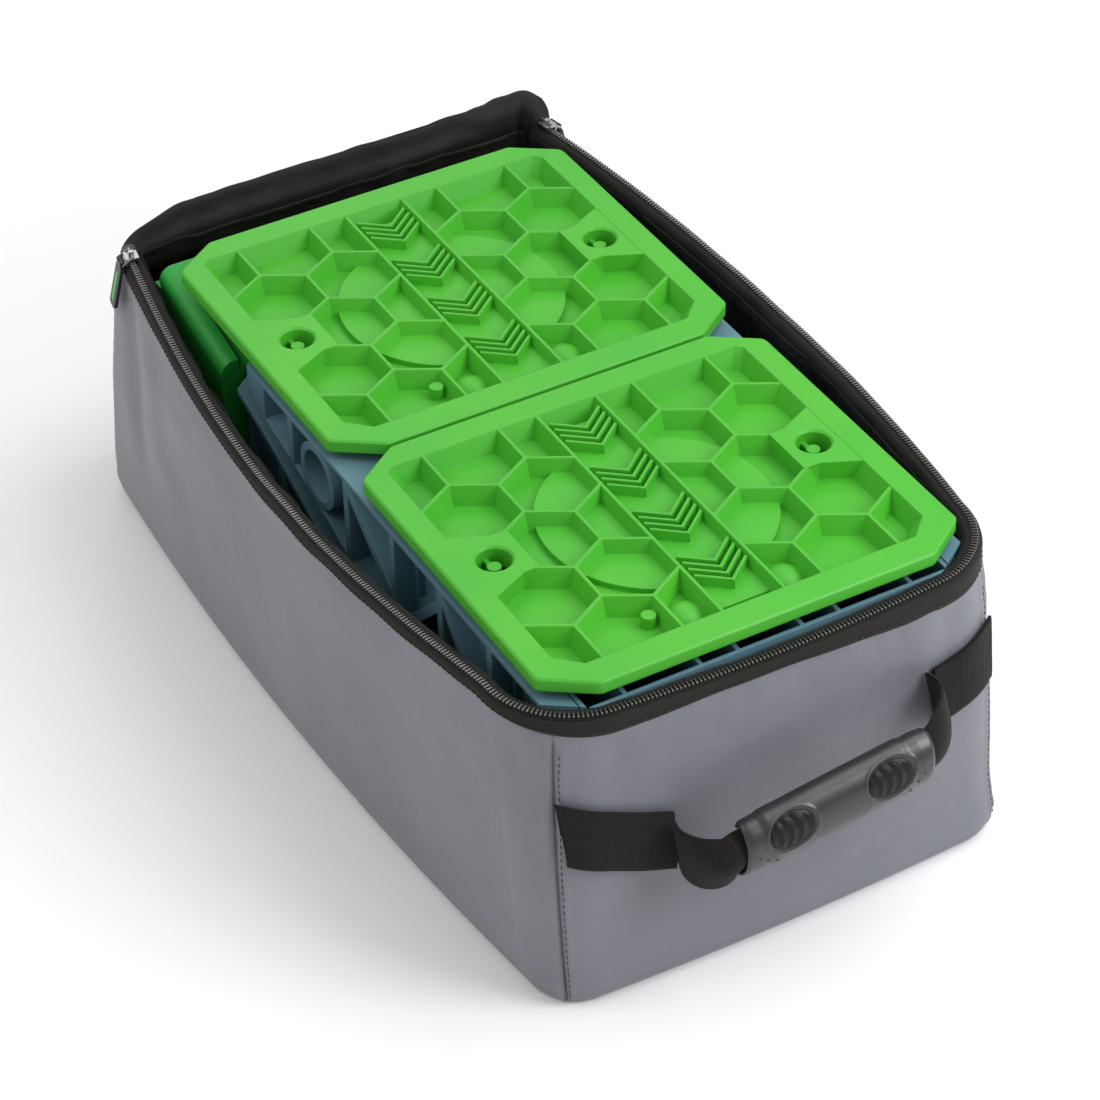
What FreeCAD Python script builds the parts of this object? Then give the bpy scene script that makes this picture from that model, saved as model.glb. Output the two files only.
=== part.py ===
import FreeCAD, Part
import math
import os

# Wheel levelling kit: two curved levelers, two wheel chocks and two honeycomb ground mats, packed in
# a zip-up carry bag whose lid is unzipped and folded back behind the rear wall.
# Frame: +X runs along the bag towards the handle end, +Z is up, and the origin is the middle of the
# bag's base on the ground. Millimetres.

os.makedirs("parts", exist_ok=True)

# ---- driving dimensions: honeycomb mats ----
CELL = 28.0                # edge of one honeycomb cell
ROW = CELL * math.sqrt(3) / 2
MAT_LENGTH = 8.4 * CELL    # along X
MAT_WIDTH = 9.4 * CELL     # along Y
MAT_DEPTH = 14.0
MAT_LIP = 8.0              # thickness of the rim that stands out around the tray
MAT_PITCH = 238.0          # centre to centre of the two mats
MAT_TOP_Z = 201.4
MATS_X = 22.0              # middle of the pair
POCKET_DEPTH = 12.0
RIB_TOP = 2.0
RIB_FOOT = 10.0
WALL_DRAFT = 5.5           # how far the pockets' outer walls slope in
HOLE_RADIUS = 10.0
HOLE_Y = 3.64 * CELL
BAND_HALF = 0.69 * CELL    # half width of the ribbed band across the middle
DISC_RADIUS = 68.0         # raised part of the pocket floors

# ---- driving dimensions: levelers ----
LEVELER_LENGTH = 383.0
LEVELER_WIDTH = 263.0
LEVELER_HEIGHT = 159.0
TOE_LENGTH = 67.0
TOE_EDGE = 4.0
TOE_RISE = 32.0
SKIN = 4.0
RIB = 2.6
SIDE_RECESS = 12.0
UPPER_TOE_X = -123.0
LOWER_HEEL_X = -140.0
SOLE_TOP_Z = 187.0         # upper leveler lies upside down, its sole is the deck for the mats
FLOOR_Z = 4.0

# ---- driving dimensions: chocks ----
CHOCK_LENGTH = 168.0
CHOCK_SOLE = 148.0
CHOCK_HEIGHT = 84.0
CHOCK_WIDTH = 257.0
CHOCK_TOE = 8.0
CHOCK_CENTRE_Y = -5.0
CHOCK_SKIN = 4.0

# ---- driving dimensions: bag ----
FABRIC = 2.0
LINING = 1.2
RIM_Z = 186.0
ZIP_REAR_X = -246.0        # the zip runs round the left, front and right sides, from here
COIL_WIDTH = 5.0
COIL_HEIGHT = 2.6
TAPE_WIDTH = 8.5
SIDE_MIDDLE_X = 20.0
FRONT_BULGE = 3.0
PULL_PIN = 0.6             # radius of the pull's wire
PULL_LOOP = 8.0
PULL_LEAN = 56.0           # degrees from hanging straight down
TAB_LEAN = 14.0
SEAM_FRONT_X = 121.0       # the corner seams lie on lines at 45 degrees from these points
SEAM_REAR_X = -118.0
# height: rear x, front x, half width at rear, middle and front, front and rear corner radius
SECTIONS = [
    (0.0, -276.0, 279.0, 155.0, 161.0, 144.0, 30.0, 22.0),
    (14.0, -283.0, 286.0, 161.0, 168.0, 151.0, 32.0, 26.0),
    (95.0, -273.0, 279.0, 161.0, 170.0, 153.0, 40.0, 26.0),
    (150.0, -266.4, 274.0, 157.0, 171.0, 153.0, 46.0, 22.0),
    (RIM_Z, -262.0, 270.0, 147.0, 169.0, 152.0, 55.0, 18.0),
]

# ---- driving dimensions: lid ----
LID_LEAVES = [("rear", 175.0), ("second", 130.0), ("third", 113.0), ("front", 113.0)]
LID_HALF_WIDTH = 137.0
LID_TAPER = (45.0, 28.0)   # how much narrower it is at the hinge, and over what length
LID_BINDING = 7.0
LID_COIL = 4.3
LID_CORNER_RADIUS = 52.0
HINGE_X = -261.5
HINGE_Z = 202.0
FOLD_IN, FOLD_OUT = -4.5, 1.3   # fold lines on the lining's side and on the outer side
WALL_LEAN = math.degrees(math.atan2(21.0, 172.0))
LID_CLOSING = 270.0 - WALL_LEAN

# ---- driving dimensions: handle ----
WEBBING = 38.0
WEBBING_THICK = 2.0
FOLD_LEFT = (-73.0, 95.0)      # y, z where the webbing leaves the front panel
FOLD_RIGHT = (93.0, 118.0)
SEAM_RISE_LEFT = 24.0          # how much higher the webbing is where it enters the corner seam
SEAM_RISE_RIGHT = 10.0
GRIP_CENTRE = (316.0, 3.5, 113.5)
GRIP_HALF_LENGTH = 59.0
GRIP_TILT = 7.3                # the right end hangs higher
GRIP_HALF_X, GRIP_HALF_Z = 13.0, 19.0
HANDLE_PIVOT_X = 284.8


def point(x, y, z=0.0):
    return FreeCAD.Vector(x, y, z)


def block(x0, y0, z0, x1, y1, z1):
    return Part.makeBox(x1 - x0, y1 - y0, z1 - z0, point(x0, y0, z0))


def face_of(points):
    return Part.Face(Part.makePolygon(points + [points[0]]))


def prism_up(outline, z0, z1):
    """Polygon of (x, y) pairs, extruded from z0 to z1."""
    return face_of([point(x, y, z0) for x, y in outline]).extrude(point(0, 0, z1 - z0))


def prism_across(outline, y0, y1):
    """Polygon of (x, z) pairs, extruded from y0 to y1."""
    return face_of([point(x, y0, z) for x, z in outline]).extrude(point(0, y1 - y0, 0))


def prism_forward(outline, x0, x1):
    """Polygon of (y, z) pairs, extruded from x0 to x1."""
    return face_of([point(x0, y, z) for y, z in outline]).extrude(point(x1 - x0, 0, 0))


def cylinder_up(x, y, z0, z1, radius):
    return Part.makeCylinder(radius, z1 - z0, point(x, y, z0))


def fused(shapes):
    return shapes[0].multiFuse(shapes[1:]).removeSplitter()


def turned(shape, centre, axis, degrees):
    copy = shape.copy()
    copy.rotate(centre, axis, degrees)
    return copy


def moved(shape, x, y, z):
    copy = shape.copy()
    copy.translate(point(x, y, z))
    return copy


def save(node, shape):
    solids = shape.Solids
    assert solids and all(s.isValid() and s.Volume > 0 for s in solids), node
    kept = solids[0] if len(solids) == 1 else Part.makeCompound(solids)
    kept.exportStep(f"parts/{node}.step")
    box = kept.BoundBox
    print(f"{node:28s} solids {len(solids)}  volume {kept.Volume / 1000:8.1f} cm3  "
          f"x {box.XMin:.1f}..{box.XMax:.1f}  y {box.YMin:.1f}..{box.YMax:.1f}  "
          f"z {box.ZMin:.1f}..{box.ZMax:.1f}")


# ---------------------------------------------------------------- honeycomb mats

def mat_outline(inset):
    """Rectangle whose corners are cut along the honeycomb's own directions."""
    x, y = MAT_LENGTH / 2 - inset, MAT_WIDTH / 2 - inset
    cut_x, cut_y = 0.7 * CELL - 0.3 * inset, CELL - 0.3 * inset
    right = [(x, -y + cut_y), (x, y - cut_y), (x - cut_x, y)]
    left = [(-x + cut_x, y), (-x, y - cut_y), (-x, -y + cut_y), (-x + cut_x, -y), (x - cut_x, -y)]
    return right + left


def rounded_prism(outline, z0, z1, radius):
    solid = prism_up(outline, z0, z1)
    uprights = [e for e in solid.Edges if abs(e.tangentAt(e.FirstParameter).z) > 0.99]
    return solid.makeFillet(radius, uprights)


def rib(start, end, top, foot, z_foot, z_top, run_on=0.9):
    """Straight rib between two (x, y) points, thinner at its top, running on a little past both."""
    along = point(end[0] - start[0], end[1] - start[1])
    along.normalize()
    side = point(-along.y, along.x)
    first = point(*start) - along * run_on
    length = (point(*end) - point(*start)).Length + 2 * run_on
    corners = [first + side * (s * w / 2) + point(0, 0, z)
               for s, w, z in ((-1, foot, z_foot), (1, foot, z_foot), (1, top, z_top), (-1, top, z_top))]
    return face_of(corners).extrude(along * length)


def honeycomb_ribs():
    """Edges of the honeycomb on one half of a mat, as pairs of (x, y) points."""
    rows = {-2: -4.80 * ROW, -1: -3.80 * ROW, 0: -2.80 * ROW, 1: -1.80 * ROW, 2: -BAND_HALF}
    chains = [
        [(-3.7, -1), (-2.5, -1), (-2, 0), (-1, 0), (-0.5, 1), (0.5, 1), (1, 0), (2, 0), (2.5, 1), (3.7, 1)],
        [(-3.7, 1), (-2.5, 1), (-2, 0)],
        [(-2.5, 1), (-2, 2)],
        [(-2.5, -1), (-2, -2)],
        [(-1, 0), (-0.5, -1)],
        [(-0.5, 1), (-1, 2)],
        [(0.5, 1), (1, 2)],
        [(1, 0), (0.5, -1)],
        [(2, 0), (2.5, -1), (3.7, -1)],
        [(2.5, -1), (2, -2)],
        [(2.5, 1), (2, 2)],
    ]
    edges = []
    for chain in chains:
        for (x0, row0), (x1, row1) in zip(chain, chain[1:]):
            edges.append(((x0 * CELL, rows[row0]), (x1 * CELL, rows[row1])))
    return edges


def band_chevrons():
    """Nested chevrons that fill the band across the middle: edges as pairs of (x, y) points."""
    reach, half, step = 13.0, BAND_HALF - 3.5, 6.2
    edges = []
    for group in (-3.25, -1.6, 0.05, 1.7):
        for nested in range(4):
            x = group * CELL + nested * step
            edges.append(((x, -half), (x + reach, 0.0)))
            edges.append(((x + reach, 0.0), (x, half)))
    return edges


def honeycomb_mat():
    """One mat, centred on its own origin with its top face at z = 0."""
    lip = rounded_prism(mat_outline(0), -MAT_LIP, 0, 6.0)
    top_edge = [e for e in lip.Edges if e.BoundBox.ZMin > -0.01]
    lip = lip.makeChamfer(1.1, top_edge)
    tray = rounded_prism(mat_outline(9.0), -MAT_DEPTH, -MAT_LIP, 5.0)
    body = lip.fuse(tray)

    opening_x, opening_y, draft = 3.58 * CELL, 4.15 * CELL, WALL_DRAFT
    wires = []
    for z, inset in ((0.5, -0.07), (-POCKET_DEPTH, draft)):
        x, y, cut = opening_x - inset, opening_y - inset, 13.0
        corners = [(x, -y + cut), (x, y - cut), (x - cut, y), (-x + 4, y), (-x, y - 4), (-x, -y + 4),
                   (-x + 4, -y), (x - cut, -y)]
        points = [point(a, b, z) for a, b in corners]
        wires.append(Part.makePolygon(points + [points[0]]))
    body = body.cut(Part.makeLoft(wires, True, True))

    floor, flush = -POCKET_DEPTH - 0.5, -0.5
    added = [cylinder_up(0, 0, floor, -8.6, DISC_RADIUS)]
    for (x0, y0), (x1, y1) in honeycomb_ribs():
        for side in (1, -1):
            added.append(rib((x0, side * y0), (x1, side * y1), RIB_TOP, RIB_FOOT, floor, flush))
    for side in (1, -1):
        added.append(rib((-3.6 * CELL, side * BAND_HALF), (3.6 * CELL, side * BAND_HALF),
                         RIB_TOP, RIB_FOOT, floor, flush))
        plinth = [(-0.66 * CELL, 3.0 * CELL), (0.66 * CELL, 3.0 * CELL), (0.66 * CELL, 3.35 * CELL),
                  (1.12 * CELL, 4.3 * CELL), (-1.12 * CELL, 4.3 * CELL), (-0.66 * CELL, 3.35 * CELL)]
        added.append(prism_up([(x, side * y) for x, y in plinth], floor, -0.2))
    added.append(block(-3.2 * CELL, -BAND_HALF, floor, 3.25 * CELL, BAND_HALF, -7.4))
    for start, end in band_chevrons():
        added.append(rib(start, end, 1.7, 2.6, -8.0, -1.2, run_on=0.6))
    added.append(cylinder_up(2.8 * CELL, -1.86 * CELL, floor, -4.5, 4.2))
    for side in (1, -1):
        dome = Part.makeSphere(16.0, point(2.9 * CELL, side * 1.1 * CELL, -POCKET_DEPTH - 10.5))
        added.append(dome.common(block(0, -60, floor, 110, 60, 0)))
    body = fused([body] + added)

    holes = []
    for side in (1, -1):
        y = side * HOLE_Y
        holes.append(cylinder_up(0, y, -MAT_DEPTH - 1, 1, HOLE_RADIUS))
        holes.append(Part.makeCone(HOLE_RADIUS, HOLE_RADIUS + 1.6, 1.6, point(0, y, -1.5)))
    body = body.cut(holes)
    pegs = []
    for side in (1, -1):
        y = side * HOLE_Y
        pegs.append(cylinder_up(0, y, -MAT_DEPTH, -5.5, 4.0))
        pegs.append(block(-HOLE_RADIUS - 1, y - 1.5, -MAT_DEPTH, 0, y + 1.5, -8.0))
        pegs.append(block(-3.0, y - HOLE_RADIUS - 1, -MAT_DEPTH, 3.0, y, -11.0))
    return fused([body] + pegs)


# ---------------------------------------------------------------- levelers

def running_height(d):
    """Height of the running surface above the sole, at a distance d from the toe."""
    if d <= TOE_LENGTH:
        return TOE_EDGE + TOE_RISE * math.sqrt(d / TOE_LENGTH)
    start, start_slope, end_slope = TOE_EDGE + TOE_RISE, 0.5 * TOE_RISE / TOE_LENGTH, 0.2
    span = LEVELER_LENGTH - TOE_LENGTH
    u = (d - TOE_LENGTH) / span
    return ((2 * u**3 - 3 * u**2 + 1) * start + (u**3 - 2 * u**2 + u) * span * start_slope
            + (3 * u**2 - 2 * u**3) * LEVELER_HEIGHT + (u**3 - u**2) * span * end_slope)


def running_face(d0, d1, base, drop):
    """Side view of the leveler from d0 to d1: flat at height base, curved on top, in the XZ plane."""
    steps = 12
    lead = [d0 + (d1 - d0) * (i / steps)**2 for i in range(steps + 1)]
    curve = Part.BSplineCurve()
    curve.interpolate([point(d, 0, running_height(max(d, 0)) - drop) for d in lead])
    first, last = lead[0], lead[-1]
    left = Part.makeLine(point(first, 0, base), point(first, 0, running_height(first) - drop))
    right = Part.makeLine(point(last, 0, running_height(last) - drop), point(last, 0, base))
    sole = Part.makeLine(point(last, 0, base), point(first, 0, base))
    return Part.Face(Part.Wire([left, curve.toShape(), right, sole]))


def side_relief():
    """Bracing on the leveler's side web, faces in the XZ plane: toe block, ring, uprights and braces."""
    figures = []

    def figure(*corners):
        figures.append(face_of([point(x, 0, z) for x, z in corners]))

    figure((-2, 0), (39, 0), (39, 60), (-2, 60))
    ring = Part.Face(Part.Wire(Part.makeCircle(21.0, point(106, 0, 23), point(0, 1, 0))))
    bore = Part.Face(Part.Wire(Part.makeCircle(16.0, point(106, 0, 23), point(0, 1, 0))))
    figures.append(ring.cut(bore))
    for x in (70, 140, 196, 252, 308):
        figure((x, 2), (x + 6, 2), (x + 6, 160), (x, 160))
    for x0, z0, x1, z1 in ((146, 2, 196, 44), (202, 61, 252, 11), (258, 2, 308, 69), (314, 100, 371, 40)):
        figure((x0, z0), (x1, z1), (x1, z1 + 9), (x0, z0 + 9))
    return figures


def leveler():
    """One leveler: toe at x = 0, sole on z = 0, running surface on top."""
    half = LEVELER_WIDTH / 2
    body = running_face(0, LEVELER_LENGTH, 0, 0).extrude(point(0, LEVELER_WIDTH, 0))
    body.translate(point(0, -half, 0))
    cut_x, cut_y = 17.0, 24.0
    corners = []
    for side in (1, -1):
        for x, toward in ((0, 1), (LEVELER_LENGTH, -1)):
            corners.append(prism_up([(x - toward, side * (half - cut_y)), (x - toward, side * (half + 1)),
                                     (x + toward * cut_x, side * (half + 1)),
                                     (x + toward * cut_x, side * half),
                                     (x, side * (half - cut_y))], -1, LEVELER_HEIGHT + 5))

    # open cells between the ribs under the heel end, and closed ones behind the sole's middle plate
    web = half - SIDE_RECESS - 3.0
    rib_lines = [-113.0, -89.0, -43.0, -20.0, 20.0, 43.0, 89.0, 113.0]
    edges = [-web] + rib_lines + [web]
    cells = []
    for d0, d1, sole in ((24.0, 70.0, 3.0), (74.0, 142.0, 3.0), (146.0, 226.0, 3.0),
                         (230.0, 304.0, -1.0), (304.0, LEVELER_LENGTH - 1, -1.0)):
        face = running_face(d0 + RIB / 2, d1 - RIB / 2, sole, SKIN)
        for left, right in zip(edges, edges[1:]):
            cell = face.extrude(point(0, right - left - RIB, 0))
            cell.translate(point(0, left + RIB / 2, 0))
            cells.append(cell)

    # recessed side webs with raised bracing and openings into the cells
    recess = running_face(10.0, LEVELER_LENGTH - 12.0, 3.0, SKIN)
    recess = recess.cut(side_relief())
    openings = [
        ((150, 22), (150, 52), (184, 52)), ((206, 8), (206, 48), (244, 8)),
        ((262, 26), (262, 96), (300, 96)), ((318, 8), (318, 86), (362, 8)),
    ]
    windows = [face_of([point(x, 0, z) for x, z in corners]) for corners in openings]
    windows.append(Part.Face(Part.Wire(Part.makeCircle(10.0, point(106, 0, 23), point(0, 1, 0)))))
    cuts = []
    for side in (1, -1):
        start = half - SIDE_RECESS if side > 0 else -half - 1
        relief = recess.extrude(point(0, SIDE_RECESS + 1, 0))
        relief.translate(point(0, start, 0))
        cuts += relief.Solids
        for window in windows:
            hole = window.extrude(point(0, SIDE_RECESS + 6, 0))
            hole.translate(point(0, web - 1 if side > 0 else -half + SIDE_RECESS - 5, 0))
            cuts.append(hole)
    body = body.cut(corners + cells)
    body = body.cut(cuts)

    # low cross bars that give the tyre grip on the running surface
    treads = []
    for i in range(10):
        d = 84.0 + 30.0 * i
        low, high = running_height(d) - 1.5, running_height(d + 5) + 1.6
        treads.append(prism_across([(d, low), (d + 5, low), (d + 5, high), (d, high - 1.0)],
                                   -half + 26, half - 26))
    return fused([body] + treads)


# ---------------------------------------------------------------- chocks

def chock():
    """One chock: toe at x = 0, sole on z = 0, hollow wheel face on top, heel leaning out at the back."""
    half = CHOCK_WIDTH / 2
    toe, crest = point(0, 0, CHOCK_TOE), point(CHOCK_LENGTH - 10, 0, CHOCK_HEIGHT)
    middle = (toe + crest) * 0.5 + point(3.4, 0, -7.2)

    def side_view(arc_start, arc_middle, arc_end, *rest):
        arc = Part.Arc(arc_start, arc_middle, arc_end).toShape()
        lines = [Part.makeLine(a, b) for a, b in zip((arc_end,) + rest, rest + (arc_start,))]
        return Part.Face(Part.Wire([arc] + lines))

    outer = side_view(toe, middle, crest, point(CHOCK_LENGTH, 0, CHOCK_HEIGHT),
                      point(CHOCK_SOLE, 0, 0), point(0, 0, 0))
    body = outer.extrude(point(0, CHOCK_WIDTH, 0))
    body.translate(point(0, -half, 0))
    rounded = [e for e in body.Edges
               if e.BoundBox.XMin > CHOCK_SOLE - 2 and e.BoundBox.YLength < 0.1 and e.BoundBox.ZLength > 60]
    body = body.makeFillet(9.0, rounded)

    drop = point(0, 0, -CHOCK_SKIN - 1)
    inner_toe = toe + (middle - toe) * 0.28 + drop
    inner_crest = crest + point(-4, 0, -CHOCK_SKIN - 2)
    inner_middle = (inner_toe + inner_crest) * 0.5 + point(2.0, 0, -4.6)
    heel_foot = point(CHOCK_SOLE - 13, 0, -1)
    heel_top = point(CHOCK_LENGTH - 13, 0, CHOCK_HEIGHT - CHOCK_SKIN - 3)
    inner = side_view(inner_toe, inner_middle, inner_crest, heel_top, heel_foot,
                      point(inner_toe.x, 0, -1))
    bays = 5
    bay = (CHOCK_WIDTH - 2 * 13.0) / bays
    cuts = []
    for i in range(bays):
        pocket = inner.extrude(point(0, bay - 3.2, 0))
        pocket.translate(point(0, -half + 13.0 + i * bay + 1.6, 0))
        cuts.append(pocket)

    # shallow panel in the heel, with a notch at its crest side and another in the sole's edge
    lean = (CHOCK_LENGTH - CHOCK_SOLE) / CHOCK_HEIGHT
    deep = 5.0

    def heel_x(z):
        return CHOCK_SOLE + lean * z

    panel = [(heel_x(-1) - deep, -1.0), (heel_x(-1) + 2, -1.0),
             (heel_x(68) + 2, 68.0), (heel_x(68) - deep, 68.0)]
    cuts.append(prism_across(panel, -half + 12, half - 12))
    for side in (1, -1):
        y0, y1 = side * (half - 12), side * (half - 26)
        notch = face_of([point(heel_x(64) - 26, y0, 66), point(heel_x(64) - 26, y0, 48),
                         point(heel_x(64) - 26, y1, 66)])
        cuts.append(notch.extrude(point(40, 0, 0)))
        cuts.append(block(CHOCK_SOLE - 14, min(side * (half - 22), side * (half - 40)), -1,
                          CHOCK_SOLE + 4, max(side * (half - 22), side * (half - 40)), 7))
    return body.cut(cuts)


# ---------------------------------------------------------------- bag

def bag_section(z, inset):
    """Outline of the bag at height z, moved inwards by inset, as a closed wire of eight edges."""
    below = max(i for i in range(len(SECTIONS) - 1) if SECTIONS[i][0] <= z + 1e-6)
    low, high = SECTIONS[below], SECTIONS[below + 1]
    share = (z - low[0]) / (high[0] - low[0])
    rear, front, wide_rear, wide_middle, wide_front, round_front, round_rear = [
        a + share * (b - a) for a, b in zip(low[1:], high[1:])]
    rear, front = rear + inset, front - inset
    wide_rear, wide_middle, wide_front = wide_rear - inset, wide_middle - inset, wide_front - inset
    round_front, round_rear = round_front - inset, max(round_rear - inset, 2.0)

    def edge(*corners):
        ends = [point(x, y, z) for x, y in corners]
        if len(ends) == 2:
            return Part.makeLine(*ends)
        return Part.Arc(*ends).toShape()

    bend = 1 - math.sqrt(0.5)
    side = []
    for s in (-1, 1):
        a, b = (rear, s * (wide_rear - round_rear)), (rear + round_rear, s * wide_rear)
        c, d = (front - round_front, s * wide_front), (front, s * (wide_front - round_front))
        rear_mid = (rear + bend * round_rear, s * (wide_rear - bend * round_rear))
        front_mid = (front - bend * round_front, s * (wide_front - bend * round_front))
        side.append([(a, rear_mid, b), (b, (SIDE_MIDDLE_X, s * wide_middle), c), (c, front_mid, d)])
    left = [edge(*e) for e in side[0]]
    right = [edge(*reversed(e)) for e in reversed(side[1])]
    nose = edge(side[0][2][2], (front + FRONT_BULGE, 0.0), side[1][2][2])
    back = edge(side[1][0][0], side[0][0][0])
    return Part.Wire(left + [nose] + right + [back])


def bag_solid(z0, z1, inset):
    heights = [z0] + [s[0] for s in SECTIONS if z0 < s[0] < z1] + [z1]
    return Part.makeLoft([bag_section(z, inset) for z in heights], True, True)


def seam_region(which):
    """Tall prism that holds one side of the bag, out to the corner seams."""
    far = 400.0
    front, rear = SEAM_FRONT_X, SEAM_REAR_X
    outline = {
        "front": [(front, 0), (front + far, -far), (front + far, far)],
        "rear": [(rear, 0), (rear - far, far), (rear - far, -far)],
        "left": [(rear, 0), (front, 0), (front + far, -far), (rear - far, -far)],
        "right": [(front, 0), (rear, 0), (rear - far, far), (front + far, far)],
    }[which]
    return prism_up(outline, -5, RIM_Z + 60)


def zip_region():
    return block(ZIP_REAR_X, -300, 0, 400, 300, RIM_Z + 40)


def rim_band(z0, z1, inset0, inset1):
    """Band that follows the rim, between two insets of its outline."""
    outer = Part.Face(bag_section(RIM_Z, inset0)).extrude(point(0, 0, z1 - z0))
    inner = Part.Face(bag_section(RIM_Z, inset1)).extrude(point(0, 0, z1 - z0))
    band = outer.cut(inner)
    band.translate(point(0, 0, z0 - RIM_Z))
    return band.common(zip_region())


def bag_panels():
    shell = bag_solid(0, RIM_Z, 0).cut(bag_solid(FABRIC, RIM_Z, FABRIC))
    floor = block(-400, -300, -1, 400, 300, FABRIC)
    save("bag_base_panel", shell.common(floor))
    walls = shell.cut(floor)
    for which in ("front", "rear", "left", "right"):
        save(f"bag_{which}_panel", walls.common(seam_region(which)))
    lining = bag_solid(FABRIC, RIM_Z, FABRIC).cut(bag_solid(FABRIC + LINING, RIM_Z, FABRIC + LINING))
    save("bag_lining", lining)


def rim_pieces():
    skirt = bag_solid(172, RIM_Z, -1.2).cut(bag_solid(172, RIM_Z, 0)).common(zip_region())
    cap = rim_band(RIM_Z, RIM_Z + 1.2, -1.2, FABRIC + LINING + 0.8)
    save("rim_binding", fused([skirt, cap]))
    tape_z = RIM_Z + 1.2
    save("zip_tape_body", rim_band(tape_z, tape_z + 0.8, -0.4, TAPE_WIDTH - 0.4))
    coil_z = tape_z + 0.8
    save("zip_coil_body", rim_band(coil_z, coil_z + COIL_HEIGHT, 0.5, 0.5 + COIL_WIDTH))
    # strip of lining that carries the lid, standing on the rear wall
    low = -262.0
    strip = prism_across([(low, RIM_Z), (low + FABRIC + LINING, RIM_Z), (-258.4, 196.5), (-260.2, 197.0)],
                         -132, 132)
    save("lid_hinge_strip", strip)
    for side, name in ((-1, "left"), (1, "right")):
        y0, y1 = sorted((side * 137.5, side * 145.0))
        tab = block(-254.5, y0, RIM_Z + 0.1, ZIP_REAR_X - 1.2, y1, RIM_Z + 3.4)
        uprights = [e for e in tab.Edges if abs(e.tangentAt(e.FirstParameter).z) > 0.99]
        save(f"zip_end_tab_{name}", tab.makeFillet(2.5, uprights))


def rim_side_arc(side):
    """Centre (x, y) and radius of the rim's long side, along the middle of the zip coil."""
    coil = 0.5 + COIL_WIDTH / 2
    rear, front, wide_rear, wide_middle, wide_front, round_front, round_rear = SECTIONS[-1][1:]
    ends = [(rear + round_rear, wide_rear - coil), (SIDE_MIDDLE_X, wide_middle - coil),
            (front - round_front, wide_front - coil)]
    circle = Part.Arc(*[point(x, side * y) for x, y in ends]).toShape().Curve
    return circle.Center, circle.Radius


def zip_sliders():
    coil_top = RIM_Z + 2.0 + COIL_HEIGHT
    base, top = RIM_Z + 2.3, coil_top + 0.35
    length, half, wall = 9.0, COIL_WIDTH / 2 + 0.35, 1.3
    along, origin = point(1, 0, 0), point(0, 0, 0)
    for side, name in ((-1, "left"), (1, "right")):
        centre, radius = rim_side_arc(side)
        x = ZIP_REAR_X + 8.0
        y = centre.y + side * math.sqrt(radius**2 - (x - centre.x)**2)
        heading = math.degrees(math.atan2(-(x - centre.x), y - centre.y)) + (180 if side < 0 else 0)

        def placed(shape):
            return moved(turned(shape, origin, point(0, 0, 1), heading), x, y, 0)

        # slider: a channel over the coil with a bored lug on top for the pull
        pin_z = top + 3.1
        lug = block(-1.4, -1.6, top + 1.6, 1.4, 1.6, top + 4.6)
        lug = lug.cut(Part.makeCylinder(PULL_PIN + 0.07, 4, point(-2, 0, pin_z), along))
        slider = fused([
            block(-length / 2, -half - wall, top, length / 2, half + wall, top + 1.8),
            block(-length / 2, -half - wall, base, length / 2, -half, top),
            block(-length / 2, half, base, length / 2, half + wall, top),
            lug,
        ])
        save(f"zip_slider_{name}", placed(slider))

        # pull: a wire loop pinned in the lug, leaning out over the rim
        reach, inner = PULL_LOOP, 4.9
        wire = 2 * PULL_PIN
        loop = fused([
            Part.makeCylinder(PULL_PIN, 2 * (inner + wire), point(-inner - wire, 0, 0), along),
            Part.makeCylinder(PULL_PIN, 2 * (inner + wire), point(-inner - wire, 0, -reach), along),
            block(-inner - wire, -PULL_PIN, -reach, -inner, PULL_PIN, 0),
            block(inner, -PULL_PIN, -reach, inner + wire, PULL_PIN, 0),
        ])
        loop = moved(turned(loop, origin, along, side * PULL_LEAN), 0, 0, pin_z)
        save(f"pull_loop_{name}", placed(loop))

        # moulded tab that hangs from the loop, with a coloured stripe let into its outer face
        barrel = Part.makeCylinder(1.7, 2 * inner - 1.0, point(-inner + 0.5, 0, 0), along)
        plate = rounded_prism([(-5.5, -31.0), (5.5, -31.0), (5.5, -2.0), (-5.5, -2.0)], -1.1, 1.1, 2.0)
        plate = turned(plate, origin, along, 90)
        neck = block(-inner + 0.5, -1.1, -4.0, inner - 0.5, 1.1, 0)
        plate = plate.cut(block(-8, -3, -2.9, 8, 3, 0))
        bore = Part.makeCylinder(PULL_PIN + 0.07, 20, point(-10, 0, 0), along)
        seat = block(-1.7, side * 0.7 if side > 0 else -3.0, -27.0, 1.7, 3.0 if side > 0 else -0.7, -7.0)
        stripe = block(-1.7, 0.7 if side > 0 else -1.3, -27.0, 1.7, 1.3 if side > 0 else -0.7, -7.0)
        tab = fused([barrel, neck, plate]).cut([bore, seat])
        lean = math.radians(PULL_LEAN)
        drop = (side * reach * math.sin(lean), pin_z - reach * math.cos(lean))
        for piece, node in ((tab, "pull_tab"), (stripe, "pull_stripe")):
            piece = moved(turned(piece, origin, along, side * TAB_LEAN), 0, *drop)
            save(f"{node}_{name}", placed(piece))
        hang = placed(Part.Vertex(point(0, *drop))).Point
        print(f"slider {name}: arc centre {centre.x:.3f} {centre.y:.3f} radius {radius:.2f}, heading "
              f"{heading:.3f}, pin {x:.3f} {y:.3f} {pin_z:.3f}, tab {hang.x:.3f} {hang.y:.3f} {hang.z:.3f}")


# ---------------------------------------------------------------- lid

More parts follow.
